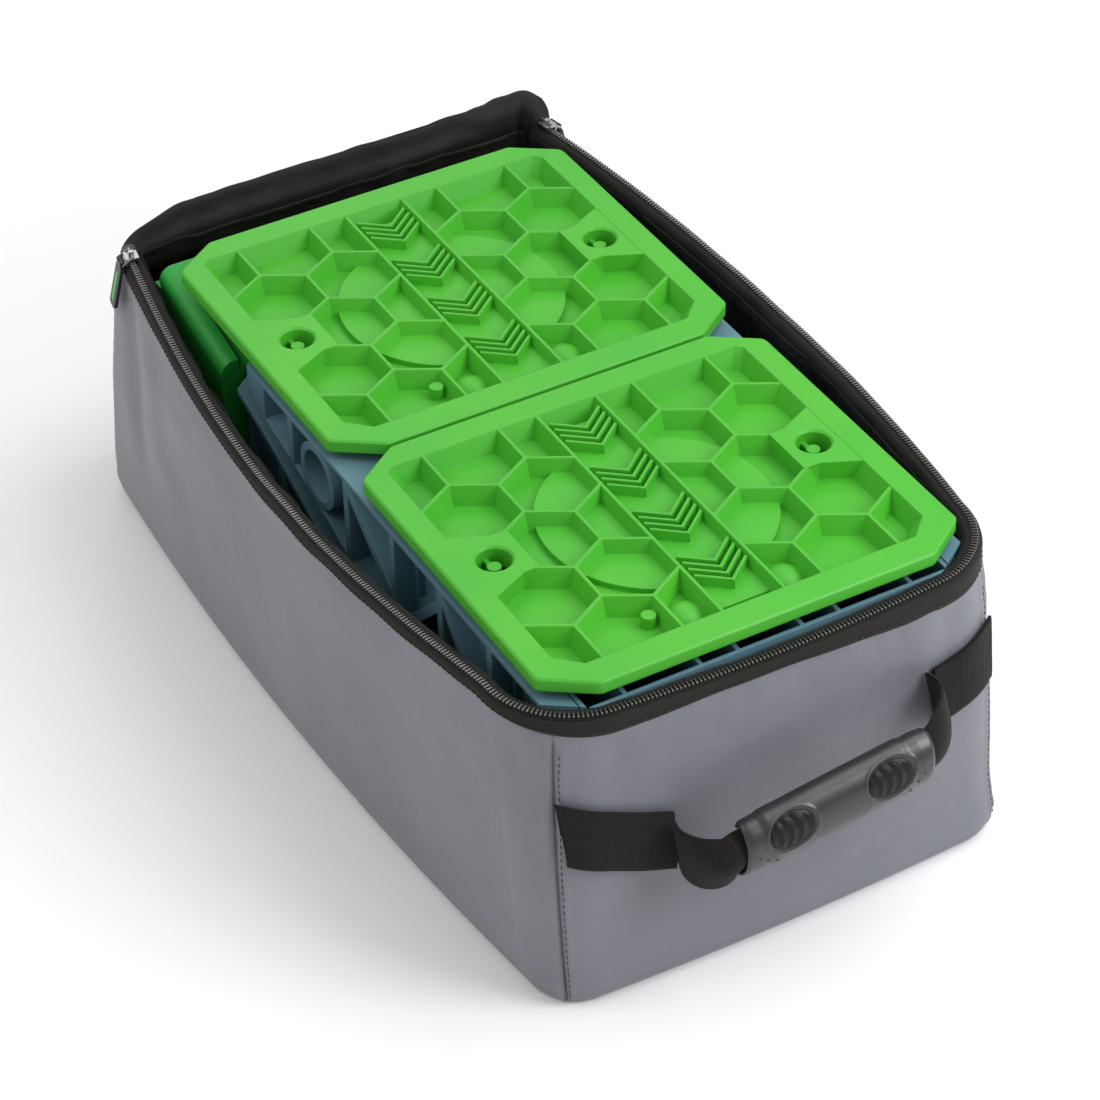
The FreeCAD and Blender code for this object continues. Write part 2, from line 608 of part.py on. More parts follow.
def lid_plan(inset, x0, x1, leaf):
    """Outline in plan of one lid leaf, inset on its zipped edges only."""
    half = LID_HALF_WIDTH - inset
    if leaf == "front":
        x1 -= inset
    outline = [(x0, -half), (x1, -half), (x1, half), (x0, half)]
    if leaf == "rear":
        narrower, over = LID_TAPER
        outline = [(x0, narrower - half), (x0 + over, -half), (x1, -half),
                   (x1, half), (x0 + over, half), (x0, half - narrower)]
    solid = prism_up(outline, 0, 1)
    if leaf != "front":
        return solid
    corners = [e for e in solid.Edges
               if abs(e.tangentAt(e.FirstParameter).z) > 0.99 and e.BoundBox.XMin > x1 - 1]
    return solid.makeFillet(LID_CORNER_RADIUS - inset, corners)


def layer(plan, z0, z1):
    """The plan's bottom face, extruded from z0 to z1."""
    bottom = [f for f in plan.Faces if f.BoundBox.ZMax < 0.01][0].copy()
    bottom.translate(point(0, 0, z0))
    return bottom.extrude(point(0, 0, z1 - z0))


def lid_pieces():
    """Every lid piece, built with the lid closed and then folded zigzag to where it rests."""
    across = point(0, 1, 0)
    hinge = point(HINGE_X, 0, HINGE_Z)
    folds, reach = [], 0.0
    for index, (name, length) in enumerate(LID_LEAVES[:-1]):
        reach += length
        folds.append(point(HINGE_X + reach, 0, HINGE_Z + (FOLD_OUT if index % 2 else FOLD_IN)))

    def to_rest(shape, index):
        for fold in reversed(folds[:index]):
            shape = turned(shape, fold, across, 180)
        return turned(shape, hinge, across, -LID_CLOSING)

    coil, binding = LID_COIL, LID_COIL + LID_BINDING
    start = HINGE_X
    for index, (name, length) in enumerate(LID_LEAVES):
        x0, x1 = start + (0.5 if index else 2.0), start + length - 0.5
        start += length
        plan = {inset: lid_plan(inset, x0, x1, name) for inset in (0, coil, binding)}
        pieces = {
            "lid_panel": layer(plan[binding], HINGE_Z - 1.8, HINGE_Z - 0.2),
            "lid_lining": layer(plan[binding], HINGE_Z - 3.0, HINGE_Z - 1.8),
            "lid_binding": layer(plan[coil], HINGE_Z - 3.8, HINGE_Z + 0.6).cut(
                layer(plan[binding], HINGE_Z - 5, HINGE_Z + 2)),
            "lid_zip_coil": layer(plan[0], HINGE_Z - 2.9, HINGE_Z - 0.3).cut(
                layer(plan[coil], HINGE_Z - 5, HINGE_Z + 2)),
        }
        for node, shape in pieces.items():
            save(f"{node}_{name}", to_rest(shape, index))
    for index, fold in enumerate(folds):
        rest = to_rest(Part.Vertex(fold), index).Point
        print(f"lid fold {index + 1}: {rest.x:.4f} {rest.z:.4f}  closing {LID_CLOSING:.4f}")


# ---------------------------------------------------------------- handle

def handle_pieces():
    band = bag_solid(50, 170, -0.4 - WEBBING_THICK).cut(bag_solid(50, 170, -0.4))
    band = band.common(seam_region("front"))
    half = WEBBING / 2
    for name, (y, z), rise, side in (("left", FOLD_LEFT, SEAM_RISE_LEFT, -1),
                                     ("right", FOLD_RIGHT, SEAM_RISE_RIGHT, 1)):
        seam_y = side * 145.0
        cutter = prism_forward([(y, z - half), (seam_y, z + rise - half), (seam_y, z + rise + half),
                                (y, z + half)], 150, 320)
        save(f"handle_anchor_{name}", band.common(cutter))

    # loose webbing and grip are built level round the grip's middle, then tilted to hang as they do
    def hung(shape):
        return moved(turned(shape, point(0, 0, 0), point(1, 0, 0), GRIP_TILT), *GRIP_CENTRE)

    # a tapering wing of webbing at each end and the run inside the grip
    end, core = GRIP_HALF_LENGTH, 12.5
    pieces = [hung(block(-2, -end - 2, -core, 2, end + 2, core))]
    for (y, z), side in ((FOLD_LEFT, -1), (FOLD_RIGHT, 1)):
        root = [point(HANDLE_PIVOT_X, y + side, z - 2), point(HANDLE_PIVOT_X, y - side, z - 2),
                point(HANDLE_PIVOT_X, y - side, z + 2), point(HANDLE_PIVOT_X, y + side, z + 2)]
        tip = [point(2, side * (end + 2), -core), point(-2, side * (end + 2), -core),
               point(-2, side * (end + 2), core), point(2, side * (end + 2), core)]
        tip = [hung(Part.Vertex(corner)).Point for corner in tip]
        wires = [Part.makePolygon(w + [w[0]]) for w in (root, tip)]
        pieces.append(Part.makeLoft(wires, True, True))
    save("handle_webbing", fused(pieces))

    across = point(0, 1, 0)
    sleeve = Part.Face(Part.Wire(Part.Ellipse(point(0, 0, 0), GRIP_HALF_Z, GRIP_HALF_X).toShape()))
    sleeve = turned(turned(sleeve, point(0, 0, 0), point(1, 0, 0), 90), point(0, 0, 0), across, 90)
    sleeve = moved(sleeve, 0, -end, 0).extrude(point(0, 2 * end, 0))
    slot = block(-2.2, -end - 1, -core - 0.2, 2.2, end + 1, core + 0.2)
    pads, seats = [], []
    for middle in (28 - end, end - 28):
        seat = Part.Face(Part.Wire(Part.Ellipse(point(0, 0, 0), 13.5, 9.5).toShape()))
        seat = turned(turned(seat, point(0, 0, 0), point(0, 0, 1), 90), point(0, 0, 0), across, 90)
        seat = moved(seat, GRIP_HALF_X - 4.5, middle, 2.0).extrude(point(12, 0, 0))
        seats.append(seat)
        grooves = [block(GRIP_HALF_X - 1.6, middle + k * 5.0 - 0.9, -14,
                         GRIP_HALF_X + 8, middle + k * 5.0 + 0.9, 14) for k in (-2, -1, 0, 1, 2)]
        pads.append(seat.common(sleeve).cut(grooves))
    save("handle_grip", hung(sleeve.cut([slot] + seats)))
    save("grip_finger_pads", hung(Part.makeCompound([s for p in pads for s in p.Solids])))


# ---------------------------------------------------------------- the whole kit

def kit():
    mat = honeycomb_mat()
    save("mat_rear", moved(mat, MATS_X - MAT_PITCH / 2, 0, MAT_TOP_Z))
    save("mat_front", moved(mat, MATS_X + MAT_PITCH / 2, 0, MAT_TOP_Z))

    one = leveler()
    upper = turned(one, point(0, 0, 0), point(1, 0, 0), 180)
    save("leveler_upper", moved(upper, UPPER_TOE_X, 0, SOLE_TOP_Z))
    lower = turned(one, point(0, 0, 0), point(0, 0, 1), 180)
    save("leveler_lower", moved(lower, LOWER_HEEL_X + LEVELER_LENGTH, 0, FLOOR_Z))

    wedge = chock()
    heel_up = turned(wedge, point(0, 0, 0), point(0, 1, 0), -90)
    save("chock_upper", moved(heel_up, LOWER_HEEL_X - 1.0, CHOCK_CENTRE_Y, 18.0))
    toe_up = turned(wedge, point(0, 0, 0), point(0, 1, 0), 90)
    save("chock_lower", moved(toe_up, LOWER_HEEL_X - 93.0, CHOCK_CENTRE_Y, FLOOR_Z + CHOCK_LENGTH))

    bag_panels()
    rim_pieces()
    zip_sliders()
    lid_pieces()
    handle_pieces()


kit()
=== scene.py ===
import math

import bpy
import numpy as np
from mathutils import Matrix, Vector


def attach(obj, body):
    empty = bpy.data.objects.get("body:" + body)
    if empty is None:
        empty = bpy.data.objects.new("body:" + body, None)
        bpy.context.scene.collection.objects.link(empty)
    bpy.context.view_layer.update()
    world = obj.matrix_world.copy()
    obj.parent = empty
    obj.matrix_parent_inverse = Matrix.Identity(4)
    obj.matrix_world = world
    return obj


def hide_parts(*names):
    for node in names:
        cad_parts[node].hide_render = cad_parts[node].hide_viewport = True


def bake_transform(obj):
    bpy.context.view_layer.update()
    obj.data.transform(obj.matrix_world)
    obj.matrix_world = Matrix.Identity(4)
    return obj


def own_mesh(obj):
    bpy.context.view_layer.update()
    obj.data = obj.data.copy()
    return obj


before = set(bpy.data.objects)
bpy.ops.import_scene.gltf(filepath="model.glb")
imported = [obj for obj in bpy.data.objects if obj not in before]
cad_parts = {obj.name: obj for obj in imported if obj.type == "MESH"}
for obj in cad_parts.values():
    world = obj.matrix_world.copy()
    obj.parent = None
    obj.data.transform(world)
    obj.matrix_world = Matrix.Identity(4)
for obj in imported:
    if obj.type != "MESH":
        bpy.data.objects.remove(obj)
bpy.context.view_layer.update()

# Wheel levelling kit in its carry bag. Shapes are worked out in millimetres in the CAD's own frame and
# turned into metres when a mesh is made. The rigid pieces are the CAD's; the soft goods, the zip and
# the grip are built here.

MM = 0.001
PI = math.pi
WAVE_COUNT = 7                            # sine waves in one patch of unevenness
CLOTH, LINING, LID_CLOTH = 1.2, 0.6, 0.8  # thicknesses of the soft sheets

# ---- small tools


def waves(u, v, seed, wavelength, stretch=1.0):
    """Smooth seeded unevenness of about unit size over (u, v); stretch > 1 draws it out along v."""
    draw = np.random.default_rng(seed)
    total = np.zeros(np.broadcast(u, v).shape)
    for _ in range(WAVE_COUNT):
        angle, phase = draw.uniform(0, PI), draw.uniform(0, 2 * PI)
        k = 2 * PI / (wavelength * draw.uniform(0.7, 1.6))
        total += np.sin(k * (u * math.cos(angle) + v * math.sin(angle) / stretch) + phase)
    return total / math.sqrt(WAVE_COUNT)


def bump(x, centre, width):
    """1 at the centre, falling smoothly to 0 on both sides."""
    return np.exp(-((x - centre) / width) ** 2)


def ease(x):
    """0 below 0, 1 above 1 and a smooth step between."""
    x = np.clip(x, 0.0, 1.0)
    return x * x * (3 - 2 * x)


def unit(v):
    return v / np.maximum(np.linalg.norm(v, axis=-1, keepdims=True), 1e-9)


def grid_faces(rows, cols, closed=False):
    """Quads of a grid of points; closed joins its last column to its first."""
    faces = []
    for here in range(0, (rows - 1) * cols, cols):
        for c in range(cols if closed else cols - 1):
            d = (c + 1) % cols
            faces.append((here + c, here + d, here + cols + d, here + cols + c))
    return faces


def turned(faces):
    """The same faces, looking the other way."""
    return [tuple(reversed(face)) for face in faces]


def pairs(u, v):
    """Two arrays that fit each other as one array of pairs."""
    return np.stack(np.broadcast_arrays(u, v), axis=-1)


def make(name, points, faces, uv=None):
    """A mesh object from points in millimetres; uv is one pair in millimetres per point."""
    mesh = bpy.data.meshes.new(name)
    mesh.from_pydata((np.asarray(points, float).reshape(-1, 3) * MM).tolist(), [], faces)
    if uv is not None:
        uv = np.asarray(uv, float).reshape(-1, 2)
        loops = np.empty(len(mesh.loops), dtype=np.int32)
        mesh.loops.foreach_get("vertex_index", loops)
        mesh.uv_layers.new(name="mm").data.foreach_set("uv", uv[loops].ravel())
    mesh.polygons.foreach_set("use_smooth", [True] * len(mesh.polygons))
    mesh.update()
    obj = bpy.data.objects.new(name, mesh)
    bpy.context.scene.collection.objects.link(obj)
    return obj


def dress(obj, body, material, replaces=(), thickness=None):
    """Finishes a piece: its body, its material and the CAD nodes it stands for."""
    if thickness:
        shell = obj.modifiers.new("thickness", "SOLIDIFY")
        shell.thickness = thickness * MM
        shell.offset = -1
    obj.data.materials.append(material)
    if body:
        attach(obj, body)
    if replaces:
        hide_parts(*replaces)
    return obj


def joined(parts):
    """Several (points, faces) pairs as one."""
    points, faces, base = [], [], 0
    for p, f in parts:
        points.append(np.asarray(p, float).reshape(-1, 3))
        faces += [tuple(i + base for i in face) for face in f]
        base += len(points[-1])
    return np.vstack(points), faces


def sweep(path, side, up, profile):
    """Carries a profile of (side, up) offsets along a path. Returns a (path, profile, 3) array."""
    profile = np.asarray(profile, float)
    if profile.ndim == 2:
        profile = np.broadcast_to(profile, (len(path),) + profile.shape)
    return path[:, None] + side[:, None] * profile[..., :1] + up[:, None] * profile[..., 1:2]


def swept_mesh(rings):
    """Points and faces of a tube with closed ends from an array of rings, (n, m, 3)."""
    n, m = rings.shape[:2]
    faces = turned(grid_faces(n, m, closed=True))
    faces.append(tuple(range(m)))
    faces.append(tuple(reversed(range((n - 1) * m, n * m))))
    return rings.reshape(-1, 3), faces


def lengths(path):
    """How far along the path each of its points is."""
    steps = np.linalg.norm(np.diff(path, axis=0), axis=1)
    return np.concatenate([[0.0], np.cumsum(steps)])


def resampled(path, *others, spacing):
    """The path and its companions at even spacing."""
    s = lengths(path)
    at = np.linspace(0, s[-1], max(2, int(round(s[-1] / spacing)) + 1))

    def pick(a):
        return np.stack([np.interp(at, s, a[:, i]) for i in range(a.shape[1])], axis=1)
    return (pick(path),) + tuple(unit(pick(o)) for o in others)


# ---- materials


class Nodes:
    """Short ways to build a procedural material."""

    def __init__(self, name):
        self.material = bpy.data.materials.new(name)
        self.material.use_nodes = True
        self.tree = self.material.node_tree
        self.bsdf = self.tree.nodes["Principled BSDF"]

    def add(self, kind, **values):
        node = self.tree.nodes.new(kind)
        for key, value in values.items():
            node.inputs[key].default_value = value
        return node

    def link(self, out, socket):
        self.tree.links.new(out, socket)

    def math(self, operation, a, b=None):
        node = self.tree.nodes.new("ShaderNodeMath")
        node.operation = operation
        for socket, value in zip(node.inputs, (a, b)):
            if value is None:
                continue
            if isinstance(value, (int, float)):
                socket.default_value = value
            else:
                self.link(value, socket)
        return node.outputs[0]

    def noise(self, vector, scale, detail=3.0, rough=0.55):
        node = self.add("ShaderNodeTexNoise", Scale=scale, Detail=detail, Roughness=rough)
        self.link(vector, node.inputs["Vector"])
        return node.outputs["Fac"]

    def ramp(self, fac, stops):
        node = self.tree.nodes.new("ShaderNodeValToRGB")
        while len(node.color_ramp.elements) < len(stops):
            node.color_ramp.elements.new(0.5)
        for element, (place, colour) in zip(node.color_ramp.elements, stops):
            element.position = place
            element.color = (*colour, 1.0)
        self.link(fac, node.inputs["Fac"])
        return node.outputs["Color"]

    def spread(self, fac, low, high):
        """fac from 0..1 onto low..high."""
        node = self.tree.nodes.new("ShaderNodeMapRange")
        node.inputs["To Min"].default_value = low
        node.inputs["To Max"].default_value = high
        self.link(fac, node.inputs["Value"])
        return node.outputs["Result"]

    def bump(self, height, distance, strength, after=None):
        node = self.add("ShaderNodeBump", Distance=distance, Strength=strength)
        self.link(height, node.inputs["Height"])
        if after is not None:
            self.link(after, node.inputs["Normal"])
        return node.outputs["Normal"]

    def place(self):
        return self.tree.nodes.new("ShaderNodeTexCoord").outputs["Object"]

    def uv(self):
        node = self.tree.nodes.new("ShaderNodeUVMap")
        node.uv_map = "mm"
        split = self.tree.nodes.new("ShaderNodeSeparateXYZ")
        self.link(node.outputs["UV"], split.inputs["Vector"])
        return node.outputs["UV"], split.outputs["X"], split.outputs["Y"]

    def ridges(self, along, pitch, shift):
        """0..1 ridges every pitch millimetres along one UV direction."""
        value = self.math("ADD", self.math("MULTIPLY", along, PI / pitch), shift)
        return self.math("ABSOLUTE", self.math("SINE", value))


def moulded_plastic(name, colour, deep, rough, grain=0.00006, edge=0.0009, shine=0.45):
    """Moulded plastic: fine mould grain, softly rounded edges, faint flow marks and scuffs."""
    m = Nodes(name)
    where = m.place()
    cloud = m.noise(where, 9.0, 4.0)
    fine = m.noise(where, 650.0, 2.0, 0.7)
    scuff = m.noise(where, 60.0, 8.0, 0.72)
    m.link(m.ramp(cloud, [(0.3, deep), (0.7, colour)]), m.bsdf.inputs["Base Color"])
    mixed = m.math("ADD", m.math("MULTIPLY", fine, 0.25), m.math("MULTIPLY", scuff, 0.75))
    m.link(m.spread(mixed, rough - 0.12, rough + 0.16), m.bsdf.inputs["Roughness"])
    soft = m.add("ShaderNodeBevel", Radius=edge)
    soft.samples = 4
    m.link(m.bump(fine, grain, 0.6, after=soft.outputs["Normal"]), m.bsdf.inputs["Normal"])
    m.bsdf.inputs["Specular IOR Level"].default_value = shine
    return m


def coated_weave(name, colour, deep, pitch=0.62, rough=0.5, depth=0.00010, sheen=0.12, shine=0.4):
    """Coated bag cloth: a fine rib weave under a satin coating, with soft mottling."""
    m = Nodes(name)
    vector, u, v = m.uv()
    drift = m.spread(m.noise(vector, 0.09, 2.0), -2.5, 2.5)
    warp = m.ridges(u, pitch, drift)
    weft = m.ridges(v, pitch * 1.25, drift)
    weave = m.math("ADD", m.math("MULTIPLY", warp, 0.68), m.math("MULTIPLY", weft, 0.32))
    cloud = m.noise(vector, 0.012, 5.0, 0.6)
    fibre = m.noise(vector, 1.6, 2.0)
    tone = m.math("ADD", m.math("MULTIPLY", cloud, 0.7),
                  m.math("ADD", m.math("MULTIPLY", weave, 0.12), m.math("MULTIPLY", fibre, 0.18)))
    m.link(m.ramp(tone, [(0.28, deep), (0.72, colour)]), m.bsdf.inputs["Base Color"])
    m.link(m.spread(m.math("ADD", m.math("MULTIPLY", cloud, 0.6), m.math("MULTIPLY", weave, 0.4)),
                    rough - 0.08, rough + 0.12), m.bsdf.inputs["Roughness"])
    broad = m.bump(m.noise(vector, 0.05, 3.0), 0.0012, 0.5)
    m.link(m.bump(weave, depth, 0.8, after=broad), m.bsdf.inputs["Normal"])
    m.bsdf.inputs["Sheen Weight"].default_value = sheen
    m.bsdf.inputs["Sheen Roughness"].default_value = 0.4
    m.bsdf.inputs["Specular IOR Level"].default_value = shine
    return m


def woven_tape(name, colour, deep, pitch, across, depth, mix=0.75):
    """Woven tape or webbing with ribs across its length."""
    m = Nodes(name)
    vector, u, v = m.uv()
    wander = m.spread(m.noise(vector, 0.3, 2.0), -0.5, 0.5)
    ribs = m.ridges(u, pitch, wander)
    yarn = m.ridges(v, across, m.math("MULTIPLY", ribs, 0.8))
    weave = m.math("ADD", m.math("MULTIPLY", ribs, mix), m.math("MULTIPLY", yarn, 1 - mix))
    fuzz = m.noise(vector, 2.3, 3.0)
    tone = m.math("ADD", m.math("MULTIPLY", weave, 0.55), m.math("MULTIPLY", fuzz, 0.45))
    m.link(m.ramp(tone, [(0.25, deep), (0.85, colour)]), m.bsdf.inputs["Base Color"])
    m.link(m.spread(fuzz, 0.67, 0.85), m.bsdf.inputs["Roughness"])
    m.link(m.bump(weave, depth, 0.9), m.bsdf.inputs["Normal"])
    m.bsdf.inputs["Sheen Weight"].default_value = 0.05
    m.bsdf.inputs["Sheen Roughness"].default_value = 0.5
    m.bsdf.inputs["Specular IOR Level"].default_value = 0.15
    return m


mat_green = moulded_plastic("mat_green", (0.075, 0.43, 0.022), (0.050, 0.385, 0.022), 0.46)
chock_green = moulded_plastic("chock_green", (0.024, 0.38, 0.044), (0.016, 0.32, 0.038), 0.46)
leveler_blue = moulded_plastic("leveler_blue", (0.125, 0.245, 0.290), (0.095, 0.205, 0.255), 0.5)
bag_cloth = coated_weave("bag_cloth", (0.200, 0.202, 0.228), (0.150, 0.152, 0.176), rough=0.44)
lining_cloth = coated_weave("lining_cloth", (0.016, 0.014, 0.012), (0.006, 0.0055, 0.005), pitch=0.4,
                            rough=0.5, depth=0.00006, sheen=0.05, shine=0.2)
binding_tape = woven_tape("binding_tape", (0.026, 0.023, 0.019), (0.010, 0.009, 0.008), pitch=1.1,
                          across=0.7, depth=0.00018)
zip_tape_cloth = woven_tape("zip_tape_cloth", (0.014, 0.013, 0.011), (0.006, 0.006, 0.005), pitch=0.8,
                            across=0.8, depth=0.00015, mix=0.5)
webbing_cloth = woven_tape("webbing_cloth", (0.017, 0.0135, 0.012), (0.004, 0.0034, 0.003), pitch=1.55,
                           across=1.0, depth=0.0005)
thread = moulded_plastic("thread", (0.018, 0.017, 0.016), (0.011, 0.010, 0.010), 0.6, edge=0.0001)
grey_thread = moulded_plastic("grey_thread", (0.030, 0.030, 0.034), (0.02, 0.02, 0.023), 0.6, edge=0.0001)
# black nylon coil with its base colour lifted to grey: partly painted highlight, so the loops read as bright
# dots
coil_nylon_painted_highlight = moulded_plastic("coil_nylon_painted_highlight", (0.12, 0.115, 0.105), (0.06, 0.057, 0.052), 0.22, edge=0.0002,
                             shine=0.9)
nickel = moulded_plastic("nickel", (0.50, 0.49, 0.48), (0.36, 0.35, 0.34), 0.26, edge=0.0002)
nickel.bsdf.inputs["Metallic"].default_value = 1.0
pull_black = moulded_plastic("pull_black", (0.010, 0.010, 0.010), (0.006, 0.006, 0.006), 0.35, edge=0.0003)
pull_green = moulded_plastic("pull_green", (0.05, 0.5, 0.07), (0.04, 0.42, 0.06), 0.4, edge=0.0002)
grip_black = moulded_plastic("grip_black", (0.016, 0.016, 0.018), (0.010, 0.010, 0.012), 0.33,
                             grain=0.00005, edge=0.0006, shine=0.75)
pad_black = moulded_plastic("pad_black", (0.004, 0.004, 0.004), (0.003, 0.003, 0.003), 0.42, edge=0.0004,
                            shine=0.3)

# ---- rigid pieces from the CAD

CAD_LOOKS = {
    "mat_rear": mat_green, "mat_front": mat_green,
    "leveler_lower": leveler_blue, "leveler_upper": leveler_blue,
    "chock_lower": chock_green, "chock_upper": chock_green,
    "zip_slider_left": nickel, "zip_slider_right": nickel,
    "pull_loop_left": nickel, "pull_loop_right": nickel,
    "pull_tab_left": pull_black, "pull_tab_right": pull_black,
    "pull_stripe_left": pull_green, "pull_stripe_right": pull_green,
    "zip_end_tab_left": pull_black, "zip_end_tab_right": pull_black,
}
for node, look in CAD_LOOKS.items():
    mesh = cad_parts[node].data
    mesh.materials.clear()
    mesh.materials.append(look.material)

# ---- the bag's outline

RIM_Z = 186.0
BOTTOM_TURN = 14.0                        # height of the rounded bottom edge
# height: rear x, front x, half width at rear, middle and front, front and rear corner radius
SECTIONS = np.array([
    (0.0, -276.0, 279.0, 155.0, 161.0, 144.0, 30.0, 22.0),
    (BOTTOM_TURN, -283.0, 286.0, 161.0, 168.0, 151.0, 32.0, 26.0),
    (95.0, -273.0, 279.0, 161.0, 170.0, 153.0, 40.0, 26.0),
    (150.0, -266.4, 274.0, 157.0, 171.0, 153.0, 46.0, 22.0),
    (RIM_Z, -262.0, 270.0, 147.0, 169.0, 152.0, 55.0, 18.0),
])
SIDE_MIDDLE_X = 20.0
FRONT_BULGE = 3.0
CORNER, REAR_CORNER, SIDE, FRONT, REAR = 48, 20, 150, 110, 70
# the columns of points round the bag, and which of them each part of the outline has
PARTS, COLUMNS = {}, 0
for name, count in (("rear_left", REAR_CORNER), ("left", SIDE), ("front_left", CORNER), ("front", FRONT),
                    ("front_right", CORNER), ("right", SIDE), ("rear_right", REAR_CORNER), ("rear", REAR)):
    PARTS[name] = (COLUMNS, COLUMNS + count)
    COLUMNS += count
# the columns where the corner seams run
SEAM_FL = PARTS["front_left"][0] + 27
SEAM_FR = PARTS["front_right"][0] + CORNER // 2
SEAM_RL = REAR_CORNER // 2
SEAM_RR = PARTS["rear_right"][0] + REAR_CORNER // 2


def arc(a, m, b, count):
    """count points from a towards b, without b, on the circle through a, m and b."""
    (ax, ay), (mx, my), (bx, by) = a, m, b
    d = 2 * (ax * (my - by) + mx * (by - ay) + bx * (ay - my))
    aa, mm, bb = ax * ax + ay * ay, mx * mx + my * my, bx * bx + by * by
    cx = (aa * (my - by) + mm * (by - ay) + bb * (ay - my)) / d
    cy = (aa * (bx - mx) + mm * (ax - bx) + bb * (mx - ax)) / d
    radius = math.hypot(ax - cx, ay - cy)
    start, end = math.atan2(ay - cy, ax - cx), math.atan2(by - cy, bx - cx)
    if end < start:
        end += 2 * PI
    t = start + (end - start) * np.arange(count) / count
    return np.stack([cx + radius * np.cos(t), cy + radius * np.sin(t)], axis=1)


def outline(z):
    """The bag's outline at a height, as (COLUMNS, 2) points going round from the rear left corner."""
    rear, front, wide_rear, wide_middle, wide_front, round_front, round_rear = [
        np.interp(z, SECTIONS[:, 0], SECTIONS[:, i]) for i in range(1, 8)]
    bend = 1 - math.sqrt(0.5)
    a, b = (rear, -wide_rear + round_rear), (rear + round_rear, -wide_rear)
    c, d = (front - round_front, -wide_front), (front, -wide_front + round_front)
    rear_mid = (rear + bend * round_rear, -wide_rear + bend * round_rear)
    front_mid = (front - bend * round_front, -wide_front + bend * round_front)

    def flip(p):
        return (p[0], -p[1])

    return np.vstack([
        arc(a, rear_mid, b, REAR_CORNER), arc(b, (SIDE_MIDDLE_X, -wide_middle), c, SIDE),
        arc(c, front_mid, d, CORNER), arc(d, (front + FRONT_BULGE, 0.0), flip(d), FRONT),
        arc(flip(d), flip(front_mid), flip(c), CORNER),
        arc(flip(c), (SIDE_MIDDLE_X, wide_middle), flip(b), SIDE),
        arc(flip(b), flip(rear_mid), flip(a), REAR_CORNER),
        flip(a) + np.linspace(0, 1, REAR, endpoint=False)[:, None] * (np.array(a) - flip(a)),
    ])


def outward(points):
    """Outward directions of a closed line round the bag."""
    tangent = unit(np.roll(points, -1, axis=0) - np.roll(points, 1, axis=0))
    return np.stack([tangent[:, 1], -tangent[:, 0]], axis=1)


def round_length(points):
    steps = np.linalg.norm(np.diff(np.vstack([points, points[:1]]), axis=0), axis=1)
    return np.concatenate([[0.0], np.cumsum(steps)])


MID = outline(95.0)
GIRTH = round_length(MID)                 # arc length to each column, and the whole girth at the end
ALONG = GIRTH[:-1]
RIM = outline(RIM_Z)


def side_share(name):
    """0..1 along one part of the outline, outside it clipped."""
    lo, hi = PARTS[name]
    return np.clip((np.arange(COLUMNS) - lo) / (hi - lo), 0, 1)


def rim_sag():
    """How far the rim hangs below its height at each column."""
    left, right, front = side_share("left"), side_share("right"), side_share("front")
    sag = 11.0 * np.sin(PI * left) ** 1.3 + 4.0 * np.sin(PI * right) ** 1.3 + 1.5 * np.sin(PI * front)
    return sag + 0.5 * waves(ALONG, 0 * ALONG, 5, 70.0) * (np.sin(PI * left) + np.sin(PI * right))


SAG = rim_sag()


def seam_distance(column):
    """Signed distance along the girth from a seam column."""
    d = ALONG - ALONG[column]
    return (d + GIRTH[-1] / 2) % GIRTH[-1] - GIRTH[-1] / 2


def cloth_relief(z):
    """How far the cloth stands out (+) or in (-) from the plain outline, per column, at height z."""
    u = ALONG
    free = ease((z - 4.0) / 40.0) * ease((RIM_Z - 8.0 - z) / 40.0)
    zz = np.full_like(u, z)
    relief = 1.5 * free * waves(u, zz, 11, 150.0, stretch=1.7)
    relief += 0.55 * free * waves(u + 0.35 * zz, zz, 23, 60.0, stretch=2.6)
    # the long panel: slack hanging from the rim, shallow folds that lean towards the rear corner
    left_mask = np.sin(PI * side_share("left")) ** 0.6
    slack = ease((RIM_Z - z) / 18.0) * ease((z - 70.0) / 60.0)
    relief += 1.8 * left_mask * slack * np.sin((u + 0.9 * (RIM_Z - z)) / 31.0 + 1.1)
    rear_fold = bump(u, 55.0 + 0.30 * (RIM_Z - z), 13.0) * ease((z - 40) / 60) * ease((RIM_Z - z) / 25)
    relief -= 3.2 * rear_fold
    relief += 1.6 * bump(u, 88.0 + 0.45 * (RIM_Z - z), 20.0) * ease((z - 40) / 60) * ease((RIM_Z - z) / 25)
    # puckers under the front corners, where the straight panel meets the curved zip
    for seam, sign in ((SEAM_FL, 1), (SEAM_FR, -1)):
        d = seam_distance(seam)
        top = ease((z - 118.0) / 50.0)
        relief -= 1.8 * top * bump(d, sign * 22.0 + sign * 0.25 * (RIM_Z - z), 9.0)
        relief += 1.1 * top * bump(d, sign * 38.0 + sign * 0.3 * (RIM_Z - z), 12.0)
        relief -= 1.5 * top * bump(d, -sign * 20.0, 8.0)
    # small puckers hanging from the front zip
    front = np.sin(PI * side_share("front")) ** 0.5
    relief += 0.5 * front * ease((z - 150) / 25) * np.sin(u / 5.5 + 0.04 * z) * waves(u, zz, 41, 50.0)
    # sewn corner seams: a narrow groove between two rolled edges, gathered a little by the thread
    for seam in (SEAM_FL, SEAM_FR, SEAM_RL, SEAM_RR):
        d = seam_distance(seam)
        relief -= 1.5 * bump(d, 0.0, 1.5)
        relief += 0.9 * (bump(d, 3.6, 2.6) + bump(d, -3.6, 2.6))
        relief += 0.10 * bump(d, 0.0, 9.0) * np.sin(z / 1.55 + 2.0 * waves(zz, 0 * zz, 3, 40.0))
    # floor seam
    relief -= 0.7 * bump(zz, 9.0, 1.6) - 0.3 * bump(zz, 13.0, 3.0)
    return relief * ease((RIM_Z - 4.0 - z) / 14.0)


